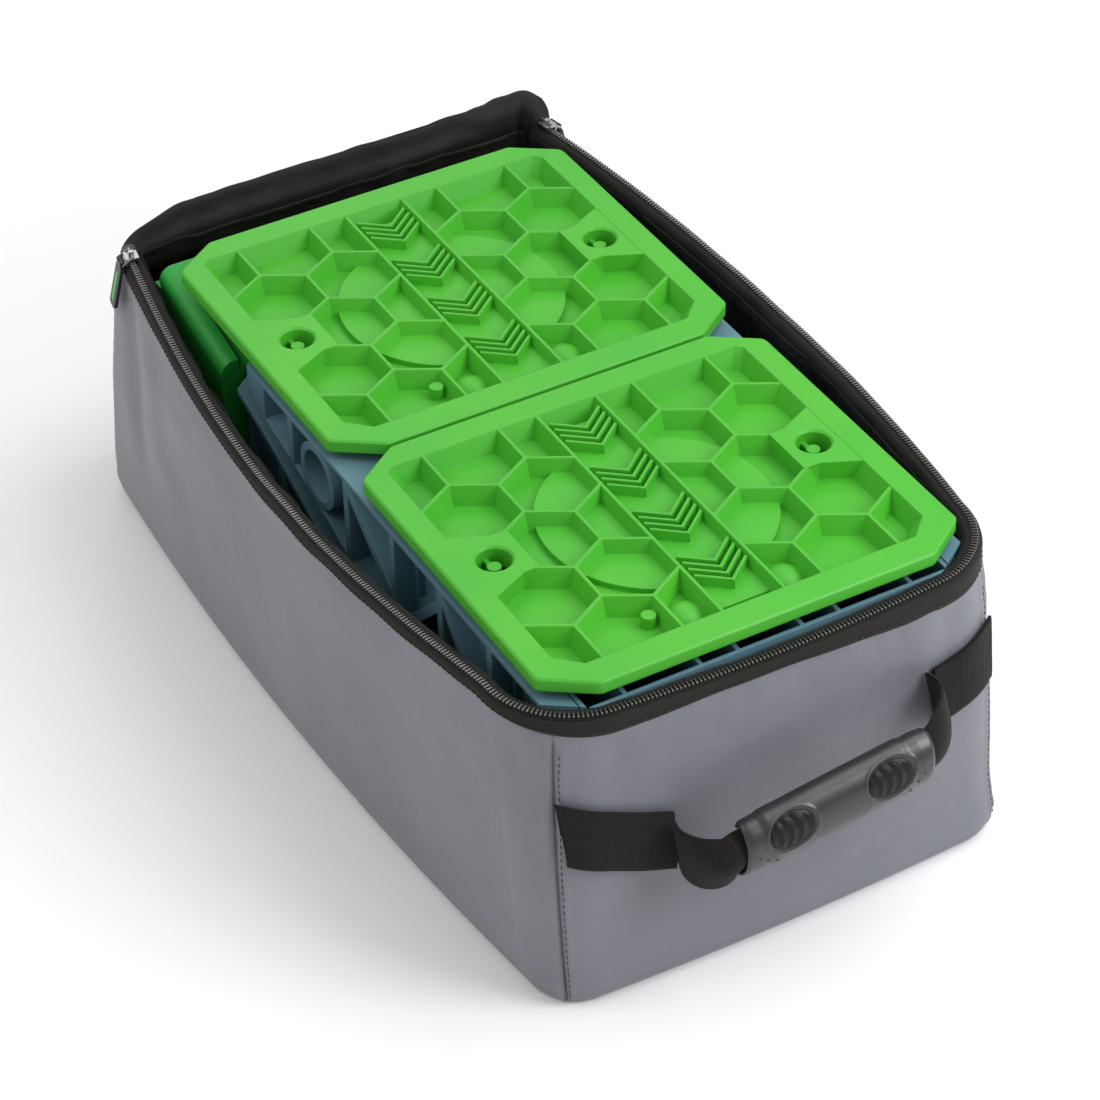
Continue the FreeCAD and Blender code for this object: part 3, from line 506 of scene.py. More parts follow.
def wall_rows():
    """Heights and how far each row is tucked in under the rounded bottom edge."""
    turn = np.linspace(0, PI / 2, 9)
    rows = [(BOTTOM_TURN * (1 - math.cos(t)), 6.0 * (1 - math.sin(t))) for t in turn]
    rows += [(z, 0.0) for z in np.linspace(15.5, 30.0, 7)]
    return rows + [(z, 0.0) for z in np.linspace(32.0, RIM_Z - 1.0, 78)]


def level_line(z, push):
    """The line round the bag at height z, pushed out by an amount per column, with the rim's sag."""
    flat = outline(max(z, BOTTOM_TURN))
    flat = flat + outward(flat) * push[:, None]
    return np.column_stack([flat, z - SAG * ease((z - 20.0) / (RIM_Z - 20.0))])


def cloth_point_grid(columns, rows):
    return np.array([level_line(z, cloth_relief(z) - tuck)[columns] for z, tuck in rows])


def columns_between(start, end):
    return np.arange(start, end + 1) % COLUMNS


ROWS = wall_rows()
PANELS = {
    "left": (columns_between(SEAM_RL, SEAM_FL), "bag_left_panel"),
    "front": (columns_between(SEAM_FL, SEAM_FR), "bag_front_panel"),
    "right": (columns_between(SEAM_FR, SEAM_RR), "bag_right_panel"),
    "rear": (columns_between(SEAM_RR, COLUMNS + SEAM_RL), "bag_rear_panel"),
}
for side, (columns, node) in PANELS.items():
    grid = cloth_point_grid(columns, ROWS)
    heights = np.array([z for z, _ in ROWS])
    uv = pairs(np.unwrap(ALONG[columns], period=GIRTH[-1]), heights[:, None])
    panel = make(f"bag_cloth_{side}", grid, grid_faces(*grid.shape[:2]), uv)
    dress(panel, "bag", bag_cloth.material, [node], thickness=CLOTH)


def fan_floor(name, ring, z_edge, dome=0.0, flip=False):
    """Floor made of shrinking copies of an outline."""
    rings = 9
    centre = ring.mean(axis=0)
    points, uv = [], []
    for i in range(rings):
        t = 1 - i / rings
        flat = centre + (ring - centre) * t
        z = z_edge + dome * (1 - t * t) * np.ones(len(ring))
        points.append(np.column_stack([flat, z]))
        uv.append(flat)
    n = len(ring)
    last, tip = (rings - 1) * n, rings * n
    points = np.vstack(points + [[[centre[0], centre[1], z_edge + dome]]])
    faces = grid_faces(rings, n, closed=True) + [(last + i, last + (i + 1) % n, tip) for i in range(n)]
    if flip:
        faces = turned(faces)
    return make(name, points, faces, np.vstack(uv + [[centre]]))


floor_ring = cloth_point_grid(np.arange(COLUMNS), ROWS[:1])[0][:, :2]
base = fan_floor("bag_cloth_base", floor_ring, 0.0, dome=0.6, flip=True)
dress(base, "bag", bag_cloth.material, ["bag_base_panel"], thickness=CLOTH)

# ---- lining

LINING_HEIGHTS = np.concatenate([[3.4, 5.0, 8.0, 12.0], np.linspace(18, RIM_Z - 2.0, 46)])


def lining_inset(z):
    """How far the lining hangs inside the plain outline, per column, at height z."""
    u = ALONG
    zz = np.full_like(u, z)
    inset = 5.2 + 1.3 * waves(u, zz, 61, 46.0, stretch=2.2) + 0.5 * waves(u, zz, 67, 17.0, stretch=2.0)
    upper = ease((z - 120.0) / 50.0)
    drape = 1.6 * np.sin(u / 9.5 + 1.6 * waves(u, zz, 71, 90.0)) * np.sin(PI * side_share("left"))
    inset += upper * (1.4 + drape)
    inset += 5.5 * ease((z - 168.0) / 16.0)          # rolls in towards the zip tape
    tuck = 6.5 * (1 - np.sin(np.clip((z - 3.0) / 14.0, 0, 1) * PI / 2))
    return np.maximum(np.clip(inset, 3.6, 12.0), 2.8 - cloth_relief(z)) + tuck


lining = np.array([level_line(z, -lining_inset(z)) for z in LINING_HEIGHTS])
wall_lining = make("lining_walls", lining, turned(grid_faces(*lining.shape[:2], closed=True)),
                   pairs(ALONG, LINING_HEIGHTS[:, None]))
dress(wall_lining, "bag", lining_cloth.material, ["bag_lining"], thickness=LINING)
floor_lining = fan_floor("lining_floor", lining[0][:, :2], 3.3)
dress(floor_lining, "bag", lining_cloth.material, thickness=LINING)

# ---- rim binding, tape and coil

ZIP_REAR_X = -246.0
ZIP_PITCH = 2.4
ZIP_COLUMNS = np.array([c for c in range(PARTS["left"][0] - 6, PARTS["rear_right"][0] + 6)
                        if RIM[c, 0] >= ZIP_REAR_X - 4])


def rim_path(inset, lift):
    """Points, outward and upward directions along the part of the rim that has the zip."""
    out = outward(RIM)
    path = np.column_stack([RIM - out * inset, RIM_Z + lift - SAG])[ZIP_COLUMNS]
    side = np.column_stack([out, np.zeros(COLUMNS)])[ZIP_COLUMNS]
    up = np.tile([0.0, 0.0, 1.0], (len(ZIP_COLUMNS), 1))
    return path, side, up


def profile_uv(rings):
    along = lengths(rings[:, 0])
    widths = np.linalg.norm(np.diff(rings, axis=1, append=rings[:, :1]), axis=2)
    across = np.concatenate([np.zeros((len(rings), 1)), np.cumsum(widths, axis=1)[:, :-1]], axis=1)
    return pairs(along[:, None], across)


def band(name, rings, look, body="bag", replaces=()):
    obj = make(name, *swept_mesh(rings), profile_uv(rings))
    return dress(obj, body, look.material, replaces)


path, side, up = rim_path(0.0, 0.0)
s = lengths(path)
flutter = 0.35 * waves(s, 0 * s, 81, 35.0)
# how far the binding reaches down the cloth, in millimetres: narrow along the sides, wider round the corners
reach_down = 4.0 + 6.0 * ease(side_share("front_left")) - 4.0 * ease(side_share("front") / 0.35)
reach_down += 7.0 * ease((side_share("front") - 0.45) / 0.55) - 7.0 * ease(side_share("right") / 0.5)
reach_down = reach_down[ZIP_COLUMNS]
# sections below are lists of (outward, upward) points
binding_profile = np.array([(0.5, -13.0), (1.6, -12.6), (2.1, -10.5), (1.9, -6.0), (1.7, -1.5), (1.0, 0.6),
                            (-0.6, 1.5), (-2.6, 1.6), (-3.4, 0.8), (-2.6, 0.2), (-0.4, -0.6), (0.4, -4.0)])
DRAWN_REACH = 12.0                        # how far the profile as listed reaches below -1
profile = np.repeat(binding_profile[None], len(path), axis=0)
profile[:, :4, 0] += flutter[:, None]
height = profile[..., 1]
stretched = -1.0 + (height + 1.0) * (reach_down[:, None] - 1.0) / DRAWN_REACH
profile[..., 1] = np.where(height < -1.0, stretched, height)
rings = sweep(path, side, up, profile)
band("rim_binding_tape", rings, binding_tape, replaces=["rim_binding"])

tape_profile = [(0.2, 1.3), (-0.6, 2.0), (-6.5, 2.3), (-9.0, 1.3), (-10.2, -1.5), (-10.6, -6.0), (-9.8, -6.0),
                (-9.2, -1.8), (-8.2, 0.4), (-6.2, 1.2), (-1.0, 1.0)]
profile = np.repeat(np.array(tape_profile)[None], len(path), axis=0)
profile[:, 3:8, 0] += 0.6 * waves(s, 0 * s, 83, 30.0)[:, None]
rings = sweep(path, side, up, profile)
band("zip_tape_on_bag", rings, zip_tape_cloth, replaces=["zip_tape_body"])


def coil(name, path, side, up, body, node):
    """Zip coil: one rounded loop of nylon per pitch, with its head towards the free edge."""
    path, side, up = resampled(path, side, up, spacing=ZIP_PITCH)
    tangent = unit(np.cross(up, side))
    ring = np.array([(math.cos(t), math.sin(t)) for t in np.arange(8) * PI / 4])
    # place along the loop, half width, half height
    stations = [(1.8, 0.22, 0.32), (1.6, 0.48, 0.66), (0.4, 0.44, 0.62), (-0.8, 0.50, 0.7),
                (-1.5, 0.70, 0.9), (-2.0, 0.62, 0.8), (-2.2, 0.25, 0.35)]
    parts = []
    for p, a, b, t in zip(path, side, up, tangent):
        rings = np.array([[p + a * x + t * (c * w) + b * (q * h) for c, q in ring] for x, w, h in stations])
        parts.append(swept_mesh(rings))
    return dress(make(name, *joined(parts)), body, coil_nylon_painted_highlight.material, [node])


path, side, up = rim_path(3.0, 3.1)
coil("zip_teeth_on_bag", path, -side, up, "bag", "zip_coil_body")


def stitches(name, path, normal, body, look, length=3.0, gap=1.3, radius=0.34):
    """A row of separate thread stitches that lie on a surface along a path."""
    # eight points to a pitch, of which the thread shows seven
    path, normal = resampled(path, normal, spacing=(length + gap) / 8)
    ring = [(math.cos(t), math.sin(t)) for t in np.arange(6) * PI / 3]
    parts = []
    for start in range(0, len(path) - 7, 8):
        piece = path[start:start + 7]
        t = unit(np.gradient(piece, axis=0))
        n = normal[start:start + 7]
        b = unit(np.cross(t, n))
        arch = np.sin(np.linspace(0.0, PI, 7))
        size = radius * np.array([0.35, 0.8, 1, 1, 1, 0.8, 0.35])
        rings = np.array([[piece[i] + n[i] * (0.35 * arch[i] - 0.1) + size[i] * (c * b[i] + q * n[i])
                           for c, q in ring] for i in range(7)])
        parts.append(swept_mesh(rings))
    return dress(make(name, *joined(parts)), body, look.material)


def column_path(seam, shift):
    """A line up the cloth, shift millimetres along the girth from a seam, with its outward direction."""
    rows = [row for row in ROWS if 5.0 < row[0] < RIM_Z - 14.0]
    column = int(np.argmin(np.abs(seam_distance(seam) - shift)))
    line = cloth_point_grid(np.array([column]), rows)[:, 0]
    normal = np.array([np.append(outward(outline(max(z, BOTTOM_TURN)))[column], 0.0) for z, _ in rows])
    return line, normal


for seam, label, shift in ((SEAM_FL, "front_left", 2.8), (SEAM_FR, "front_right", -2.8),
                           (SEAM_RL, "rear_left", 2.8), (SEAM_RR, "rear_right", -2.8)):
    line, normal = column_path(seam, shift)
    stitches(f"seam_stitches_{label}", line, normal, "bag", grey_thread, radius=0.27)

path, side, up = rim_path(-2.1, 0.0)
path[:, 2] -= 0.72 * reach_down
path[:, :2] += side[:, :2] * flutter[:, None]
stitches("binding_stitches", path, side, "bag", thread)
path, side, up = rim_path(7.6, 1.95)
stitches("zip_tape_stitches", path, up, "bag", thread, length=2.4, gap=1.2, radius=0.28)

# ---- rear ridge of the lining

# the lining stands up behind the rear rim, turns over and runs on as the inside of the lid; at the right
# it bunches into a thick roll round the corner
RIDGE_FOOT = 168.0
RIDGE_COLUMNS = columns_between(PARTS["right"][1] - 2, COLUMNS + PARTS["left"][0] + 4)
ridge_y = RIM[RIDGE_COLUMNS, 1]
ridge_s = lengths(RIM[RIDGE_COLUMNS])
ridge_top = 202.0 - 17.0 * ease((-ridge_y - 98.0) / 52.0) - 13.0 * ease((13.0 - ridge_s) / 11.0)
ridge_top += 0.8 * waves(ridge_s, 0 * ridge_s, 91, 55.0) + 2.0 * bump(ridge_s, 20.0, 20.0)
bunch = ease((ridge_s + 1.0) / 10.0) * ease((70.0 - ridge_s) / 24.0)


def ridge_row(inset, share, roll):
    """One line along the ridge: inset from the rim, a share of the way up, rolled in where it bunches."""
    out = outward(RIM)[RIDGE_COLUMNS]
    lean = inset + (1.2 * roll - 3.0 * share) * bunch
    lean = lean + 0.5 * waves(ridge_s, 0 * ridge_s + 40 * share, 93, 34.0)
    lean = lean + bunch * np.sin(ridge_s / 2.9 + 3.0 * share)
    flat = RIM[RIDGE_COLUMNS] - out * lean[:, None]
    return np.column_stack([flat, RIDGE_FOOT + (ridge_top - RIDGE_FOOT) * share])


# inset, share of the way up and roll of each line, from the inside over the top
RIDGE = [(9.5, 0.0, 0), (8.8, 0.2, 1), (8.2, 0.4, 2), (7.9, 0.52, 3), (7.4, 0.58, 4), (5.6, 0.66, 5),
         (4.2, 0.74, 6), (3.2, 0.82, 6.5), (2.4, 0.90, 6), (1.6, 0.96, 4), (0.8, 0.995, 2), (0.0, 1.0, 0.5),
         (-0.4, 0.98, 0), (-0.6, 0.9, 0), (-0.6, 0.75, 0), (-0.4, 0.6, 0)]
grid = np.array([ridge_row(*row) for row in RIDGE])
uv = pairs(ridge_s, np.array([[60.0 * share] for _, share, _ in RIDGE]))
ridge = make("rear_lining_ridge", grid, grid_faces(*grid.shape[:2]), uv)
dress(ridge, "bag", lining_cloth.material, ["lid_hinge_strip"], thickness=0.7)
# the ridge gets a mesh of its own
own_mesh(ridge)

# ---- lid, folded down behind the bag

HINGE_X, HINGE_Z = -261.5, 202.0
# each leaf and its length
LEAVES = [("rear", 175.0), ("second", 130.0), ("third", 113.0), ("front", 113.0)]
# half width, widths of the coil and the binding, corner radius
LID_HALF, LID_COIL, LID_BINDING, LID_CORNER = 137.0, 4.3, 7.0, 52.0
# where the lines that it folds on are, from the hinge and in height, with the lid flat
FOLDS = [(175.0, -4.5), (305.0, 1.3), (418.0, -4.5)]
LID_LENGTH = 531.0
LEAN = math.atan2(21.0, 172.0)            # how far the hanging stack slopes away from the rear wall


def folded(points, leaf):
    """Closed frame (q from the hinge, y, n above it) to where that leaf lies in the folded stack."""
    points = np.array(points, float)
    for q, n in reversed(FOLDS[:leaf]):
        points[..., 0], points[..., 2] = 2 * q - points[..., 0], 2 * n - points[..., 2]
    return points


def hanging(points):
    """The folded stack turned down about the hinge to hang behind the bag."""
    q, y, n = np.moveaxis(np.asarray(points, float), -1, 0)
    return np.stack([HINGE_X - math.sin(LEAN) * q + math.cos(LEAN) * n, y,
                     HINGE_Z - math.cos(LEAN) * q - math.sin(LEAN) * n], axis=-1)


def lid_half(q):
    """Half width of the lid at q from the hinge."""
    q = np.asarray(q, float)
    taper = 45.0 * np.clip(1 - q / 28.0, 0, 1)
    past = np.clip(q - (LID_LENGTH - LID_CORNER), 0, LID_CORNER)
    return LID_HALF - taper - LID_CORNER + np.sqrt(LID_CORNER ** 2 - past ** 2)


def leaf_start(leaf):
    return sum(length for _, length in LEAVES[:leaf])


def lid_edge(leaf, inset):
    """Edge lines of one leaf in the closed frame: a list of (path, outward) pairs."""
    start = leaf_start(leaf)
    end = start + LEAVES[leaf][1]
    q = np.linspace(start + (6.0 if leaf == 0 else 1.6), end - (1.6 if leaf < 3 else LID_CORNER), 40)
    side = np.column_stack([q, lid_half(q) - inset])
    if leaf < 3:
        lines = [side, side * (1, -1)]
    else:
        t = np.linspace(0, PI / 2, 20)[1:]
        radius = LID_CORNER - inset
        turn = np.column_stack([end - LID_CORNER + radius * np.sin(t),
                                LID_HALF - LID_CORNER + radius * np.cos(t)])
        half = np.vstack([side, turn])
        lines = [np.vstack([half, half[::-1] * (1, -1)])]
    edges = []
    for line in lines:
        tangent = unit(np.gradient(line, axis=0))
        normal = np.column_stack([-tangent[:, 1], tangent[:, 0]])
        if normal[0, 1] * line[0, 1] < 0:
            normal = -normal
        edges.append((np.column_stack([line[:, 0], line[:, 1], 0 * line[:, 0]]),
                      np.column_stack([normal, 0 * line[:, 0]])))
    return edges


def leaf_frame(leaf, path, side):
    """An edge line of a leaf, with its outward and upward directions, where it hangs."""
    up = np.tile([0.0, 0.0, 1.0], (len(path), 1))
    base = hanging(folded(path, leaf))
    return base, hanging(folded(path + side, leaf)) - base, hanging(folded(path + up, leaf)) - base


LEAF_BINDING = np.array([(-3.3, 0.1), (-3.2, 0.6), (2.8, 0.6), (3.6, -0.3), (3.7, -2.8), (2.8, -3.7),
                         (-3.2, -3.8), (-3.3, -3.3), (2.4, -3.2), (3.0, -2.6), (3.0, -0.6), (2.4, 0.0)])
for leaf, (name, length) in enumerate(LEAVES):
    start = leaf_start(leaf)
    q = np.linspace(start + (1.5 if leaf == 0 else 1.1), start + length - (1.1 if leaf < 3 else 5.5),
                    int(length / 6))
    share = np.linspace(-1, 1, 61)
    wide = lid_half(np.minimum(q, LID_LENGTH - 1.0)) - 5.5
    Q, Y = np.broadcast_arrays(q[:, None], wide[:, None] * share[None, :])
    relief = 0.35 * waves(Q, Y, 101 + leaf, 60.0)
    uv = np.stack([Y, Q], axis=-1)
    for kind, level, slot_name, look in (("panel", -0.3, "bag_fabric", bag_cloth),
                                         ("lining", -2.6, "black_lining", lining_cloth)):
        flat = np.stack([Q, Y, level + relief], axis=-1)
        faces = grid_faces(*Q.shape)
        if kind == "panel":
            faces = turned(faces)
        cloth = make(f"lid_{kind}_cloth_{name}", hanging(folded(flat, leaf)), faces, uv)
        dress(cloth, f"lid_{name}", look.material, [f"lid_{kind}_{name}"], thickness=LID_CLOTH)
    for number, (edge, side) in enumerate(lid_edge(leaf, LID_COIL + LID_BINDING / 2)):
        rings = sweep(*leaf_frame(leaf, edge, side), LEAF_BINDING)
        band(f"lid_binding_tape_{name}_{number}", rings, binding_tape, f"lid_{name}",
             [f"lid_binding_{name}"])
    for number, (edge, side) in enumerate(lid_edge(leaf, LID_COIL / 2)):
        base, out, up = leaf_frame(leaf, edge - (0, 0, 1.6), side)
        coil(f"lid_teeth_{name}_{number}", base, -out, up, f"lid_{name}", f"lid_zip_coil_{name}")

# the cloth round the folds between the leaves, and after it the one over the hinge
LID_BODIES = [f"lid_{name}" for name, _ in LEAVES]


def fold_strip(name, arc_points, half, slot_name, look, bodies, start, end):
    """Cloth round one fold, from (q, n) points that go round it."""
    y = np.linspace(-half, half, 41)
    q, n = arc_points
    Q, Y = np.broadcast_arrays(q[:, None], y[None, :])
    N = np.broadcast_to(n[:, None], Q.shape)
    girth = np.concatenate([[0.0], np.cumsum(np.hypot(np.diff(q), np.diff(n)))])
    uv = pairs(y, girth[:, None])
    strip = make(name, hanging(np.stack([Q, Y, N], axis=-1)), grid_faces(*Q.shape), uv)
    dress(strip, None, look.material, thickness=LID_CLOTH)
    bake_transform(strip)


for number, (q, n) in enumerate(FOLDS):
    (q, _, n), = folded([(q, 0.0, n)], number)
    layers, way = [("bag_fabric", bag_cloth), ("black_lining", lining_cloth)], 1
    if number % 2:
        layers, way = layers[::-1], -1
    turn = np.linspace(0, PI, 13)
    for label, radius, half, layer in (("outer", 4.2, 131.0, layers[0]), ("inner", 1.9, 130.0, layers[1])):
        arc_points = (q + way * radius * np.sin(turn), n + radius * np.cos(turn))
        fold_strip(f"lid_fold_{number + 1}_{label}", arc_points, half, *layer,
                   LID_BODIES[number:number + 2], (q, n + 1.5), (q, n - 1.5))

# the cloth behind the ridge that carries the lid, turned over the hinge line
rise = [(-261.6, z) for z in (185.5, 188.5, 191.5, 194.5, 197.5, 199.8)]
rise += [(-261.8, 201.3), (-262.05, 202.0), (-262.3, 202.2), (-262.6, 202.0), (-262.8, 201.3),
         (-263.0, 199.8), (-263.1, 197.5)]
y = np.linspace(-90.0, 90.0, 61)
grid = np.array([np.column_stack([np.full(61, x), y, np.full(61, z)]) for x, z in rise])
uv = pairs(y, 3.0 * np.arange(len(rise))[:, None])
hinge_cloth = make("lid_hinge_cloth", grid, grid_faces(*grid.shape[:2]), uv)
dress(hinge_cloth, None, lining_cloth.material, thickness=0.5)
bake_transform(hinge_cloth)

# ---- carry handle

FOLD_LEFT, FOLD_RIGHT = (-73.0, 95.0), (93.0, 118.0)     # y, z where the webbing leaves the cloth
SEAM_HEIGHTS = {"left": 119.0, "right": 128.0}            # where it goes into the corner seams
GRIP_CENTRE, GRIP_TILT = np.array([316.0, 3.5, 113.5]), math.radians(7.3)
WEB_HALF = 19.0
front_columns = columns_between(SEAM_FL, SEAM_FR)
front_grid = cloth_point_grid(front_columns, [row for row in ROWS if 35.0 < row[0] < 178.0])
SEAM_LEFT, SEAM_RIGHT = [
    (np.interp(height, front_grid[:, column, 2], front_grid[:, column, 1]) * 0.985, height)
    for column, height in ((0, SEAM_HEIGHTS["left"]), (-1, SEAM_HEIGHTS["right"]))]


def on_front(y, z, lift):
    """Points on the front cloth at y, z, lifted off it, and their outward directions."""
    y, z = np.broadcast_arrays(np.asarray(y, float), np.asarray(z, float))
    shape = y.shape
    y, z = y.ravel(), z.ravel()

    def depth(at):
        x_rows = np.array([np.interp(at, row[:, 1], row[:, 0]) for row in front_grid])
        z_rows = np.array([np.interp(at, row[:, 1], row[:, 2]) for row in front_grid])
        return np.array([np.interp(h, z_rows[:, i], x_rows[:, i]) for i, h in enumerate(z)])

    x = depth(y)
    slope = (depth(y + 1.5) - depth(y - 1.5)) / 3.0
    normal = unit(np.column_stack([np.ones_like(x), -slope, 0 * x]))
    points = np.column_stack([x, y, z]) + normal * lift
    return points.reshape(shape + (3,)), normal.reshape(shape + (3,))


def anchor(label, fold, seam):
    """The webbing sewn flat on the front cloth, from where the loose part leaves it to the corner seam."""
    t = np.linspace(0.0, 1.0, 60)[:, None]
    w = np.linspace(-WEB_HALF, WEB_HALF, 25)[None, :]
    y, z = fold[0] + (seam[0] - fold[0]) * t, fold[1] + (seam[1] - fold[1]) * t
    edge = 0.5 * (np.abs(w) / WEB_HALF) ** 8
    wander = 0.5 * waves(70 * t, 0 * t, 111, 45.0)
    points, _ = on_front(y + 0 * w, z + w + wander, 2.4)
    points[..., 0] -= edge
    along = np.abs(fold[0] - seam[0]) * 1.15 * t
    faces = grid_faces(60, 25)
    if seam[0] < fold[0]:
        faces = turned(faces)
    piece = make(f"webbing_anchor_{label}", points, faces, pairs(along, w))
    dress(piece, "bag", webbing_cloth.material, [f"handle_anchor_{label}"], thickness=1.9)


def anchor_line(fold, seam, marks):
    """A line on an anchor through (share of the way to the seam, height on the webbing) marks."""
    marks = np.array(marks, float)
    t = np.concatenate([np.linspace(a, b, 24) for a, b in zip(marks[:-1, 0], marks[1:, 0])])
    w = np.concatenate([np.linspace(a, b, 24) for a, b in zip(marks[:-1, 1], marks[1:, 1])])
    return on_front(fold[0] + (seam[0] - fold[0]) * t, fold[1] + (seam[1] - fold[1]) * t + w, 2.5)


ANCHORS = (("left", FOLD_LEFT, SEAM_LEFT), ("right", FOLD_RIGHT, SEAM_RIGHT))
for ends in ANCHORS:
    anchor(*ends)
BOX = [(0.14, -15.5), (0.14, 15.5), (0.66, 15.5), (0.66, -15.5), (0.14, -15.5)]
for label, fold, seam in ANCHORS:
    for part, marks in (("box", BOX), ("cross_up", [BOX[0], BOX[2]]), ("cross_down", [BOX[1], BOX[3]])):
        line, normal = anchor_line(fold, seam, marks)
        stitches(f"anchor_stitches_{label}_{part}", line, normal, "bag", thread, 2.6, 0.9, 0.36)


def bezier(a, b, c, d, count):
    """count points of the cubic curve with these four control points."""
    t = np.linspace(0, 1, count)[:, None]
    a, b, c, d = (np.array(p, float) for p in (a, b, c, d))
    return a * (1 - t) ** 3 + 3 * b * t * (1 - t) ** 2 + 3 * c * t * t * (1 - t) + d * t ** 3


def in_grip(points):
    """From the grip's own frame (x out, y along it, z across) to where it hangs."""
    x, y, z = np.moveaxis(np.asarray(points, float), -1, 0)
    c, s = math.cos(GRIP_TILT), math.sin(GRIP_TILT)
    return np.stack([x, y * c - z * s, y * s + z * c], axis=-1) + GRIP_CENTRE


CROWN = 8.8                               # how far the webbing stands out inside the grip
WEB_CURL = 11.2                           # radius that the webbing curls to inside the grip
left_end, right_end = in_grip([(CROWN, -60.0, 0.0), (CROWN, 60.0, 0.0)])
left_root, _ = on_front(*FOLD_LEFT, 2.0)
right_root, _ = on_front(*FOLD_RIGHT, 2.0)
axis = in_grip((0.0, 1.0, 0.0)) - GRIP_CENTRE
left_run = bezier(left_root, left_root + (15, -7, -5), left_end - axis * 17 + (2, 0, -5), left_end, 40)
right_run = bezier(right_end, right_end + axis * 15 + (-2, 0, 0), right_root + (17, 6, 3), right_root, 40)
inside = left_end + (right_end - left_end) * np.linspace(0, 1, 42)[1:-1, None]
run = np.vstack([left_run, inside, right_run])
curl = np.concatenate([ease(np.linspace(0, 1, 40) ** 1.4), np.ones(40), ease(np.linspace(1, 0, 40) ** 1.4)])
tangent = unit(np.gradient(run, axis=0))
across = np.tile(in_grip((0.0, 0.0, 1.0)) - GRIP_CENTRE, (len(run), 1))
across = unit(across - tangent * np.sum(across * tangent, axis=1, keepdims=True))
depth_way = np.cross(tangent, across)
w = np.linspace(-WEB_HALF, WEB_HALF, 27)
bend = np.maximum(curl, 0.02)[:, None] / WEB_CURL
angle = w[None, :] * bend
web = (run[:, None] + across[:, None] * (np.sin(angle) / bend)[..., None]
       - depth_way[:, None] * ((1 - np.cos(angle)) / bend)[..., None])
loose = make("loose_webbing", web, turned(grid_faces(*web.shape[:2])), pairs(lengths(run)[:, None], w))
dress(loose, None, webbing_cloth.material, ["handle_webbing"], thickness=1.8)
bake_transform(loose)

# moulded grip: a half tube round the webbing with two seats for ribbed pads and a few raised dots
GRIP_HALF, GRIP_WRAP = 59.0, math.radians(118)
GRIP_DEEP, GRIP_WIDE, GRIP_ROUND = 12.2, 17.6, 15.5       # two half sizes, and the mean radius round it
PAD_PLACES, PAD_TURN = (-31.0, 31.0), math.radians(24.0)
PAD_LONG, PAD_WIDE, PAD_GAP = 13.9, 9.9, 0.4              # half sizes, and the gap round a pad in its seat
DOT = 0.95


def grip_surface(a, theta, lift=0.0):
    """Point of the grip at a along it and theta round it, in its own frame."""
    middle = 1.0 + 0.055 * (ease((a + 47) / 5) * ease((47 - a) / 5)) - 0.05 * ease((np.abs(a) - 52) / 7)
    return np.stack([(GRIP_DEEP * middle + lift) * np.cos(theta), a + 0 * theta,
                     (GRIP_WIDE * middle + lift) * np.sin(theta)], axis=-1)


a = np.linspace(-GRIP_HALF, GRIP_HALF, 241)[:, None]
theta = np.linspace(-GRIP_WRAP, GRIP_WRAP, 101)[None, :]
arc_length = GRIP_ROUND * theta
lift = 0.04 * waves(a, arc_length, 121, 18.0)
for middle in PAD_PLACES:
    e = np.hypot((a - middle) / (PAD_LONG + PAD_GAP), GRIP_ROUND * (theta - PAD_TURN) / (PAD_WIDE + PAD_GAP))
    lift = lift - 1.3 * (1 - ease((e - 0.95) / 0.12)) + 0.35 * bump(e, 1.12, 0.07)
e = np.hypot(a / 17.0, (arc_length + 3.0) / 6.5)
lift = lift + 0.22 * bump(e, 1.0, 0.05)
edge = 1.2 * bump(np.abs(a), GRIP_HALF, 1.1) + 0.9 * bump(np.abs(theta), GRIP_WRAP, 0.06)
oblique = 2.5 * np.sin(theta)
shape = in_grip(grip_surface(a + oblique * np.abs(a) / GRIP_HALF, theta, lift - edge))
grip = make("grip_shell", shape, turned(grid_faces(*shape.shape[:2])))
dress(grip, "handle", grip_black.material, ["handle_grip"], thickness=2.2)


def rounds(rings, steps, inner):
    """Radius and angle of a disc's points, as a column and a row."""
    return np.linspace(inner, 1.0, rings)[:, None], np.linspace(0, 2 * PI, steps, endpoint=False)[None, :]


pad_parts, dot_parts = [], []
rho, phi = rounds(30, 96, 0.02)
for middle in PAD_PLACES:
    da, dw = PAD_LONG * rho * np.cos(phi), PAD_WIDE * rho * np.sin(phi)
    ribs = 0.5 + 0.5 * np.cos(2 * PI * (da + 0.05 * dw ** 2) / 6.2)
    height = -1.25 + 1.15 * np.sqrt(1 - 0.9 * rho ** 2) + 1.0 * ribs ** 1.6 * ease((0.93 - rho) / 0.12)
    pad_parts.append((in_grip(grip_surface(middle + da, PAD_TURN + dw / GRIP_ROUND, height)),
                      turned(grid_faces(30, 96, closed=True))))
rho, phi = rounds(5, 12, 0.05)
height = 0.75 * np.sqrt(1 - rho ** 2 * 0.98) - 0.1 + 0 * phi
for end in (-1, 1):
    for da, dw in ((53, 6), (52, -1), (48, 3.5), (47.5, -4.5), (43, -1), (42, -7.5)):
        around = (dw + DOT * rho * np.sin(phi)) / GRIP_ROUND
        dot_parts.append((in_grip(grip_surface(end * da + DOT * rho * np.cos(phi), around, height)),
                          turned(grid_faces(5, 12, closed=True))))
dress(make("grip_pads", *joined(pad_parts)), "handle", pad_black.material, ["grip_finger_pads"])
dress(make("grip_dots", *joined(dot_parts)), "handle", grip_black.material)

# ---- camera, light, floor

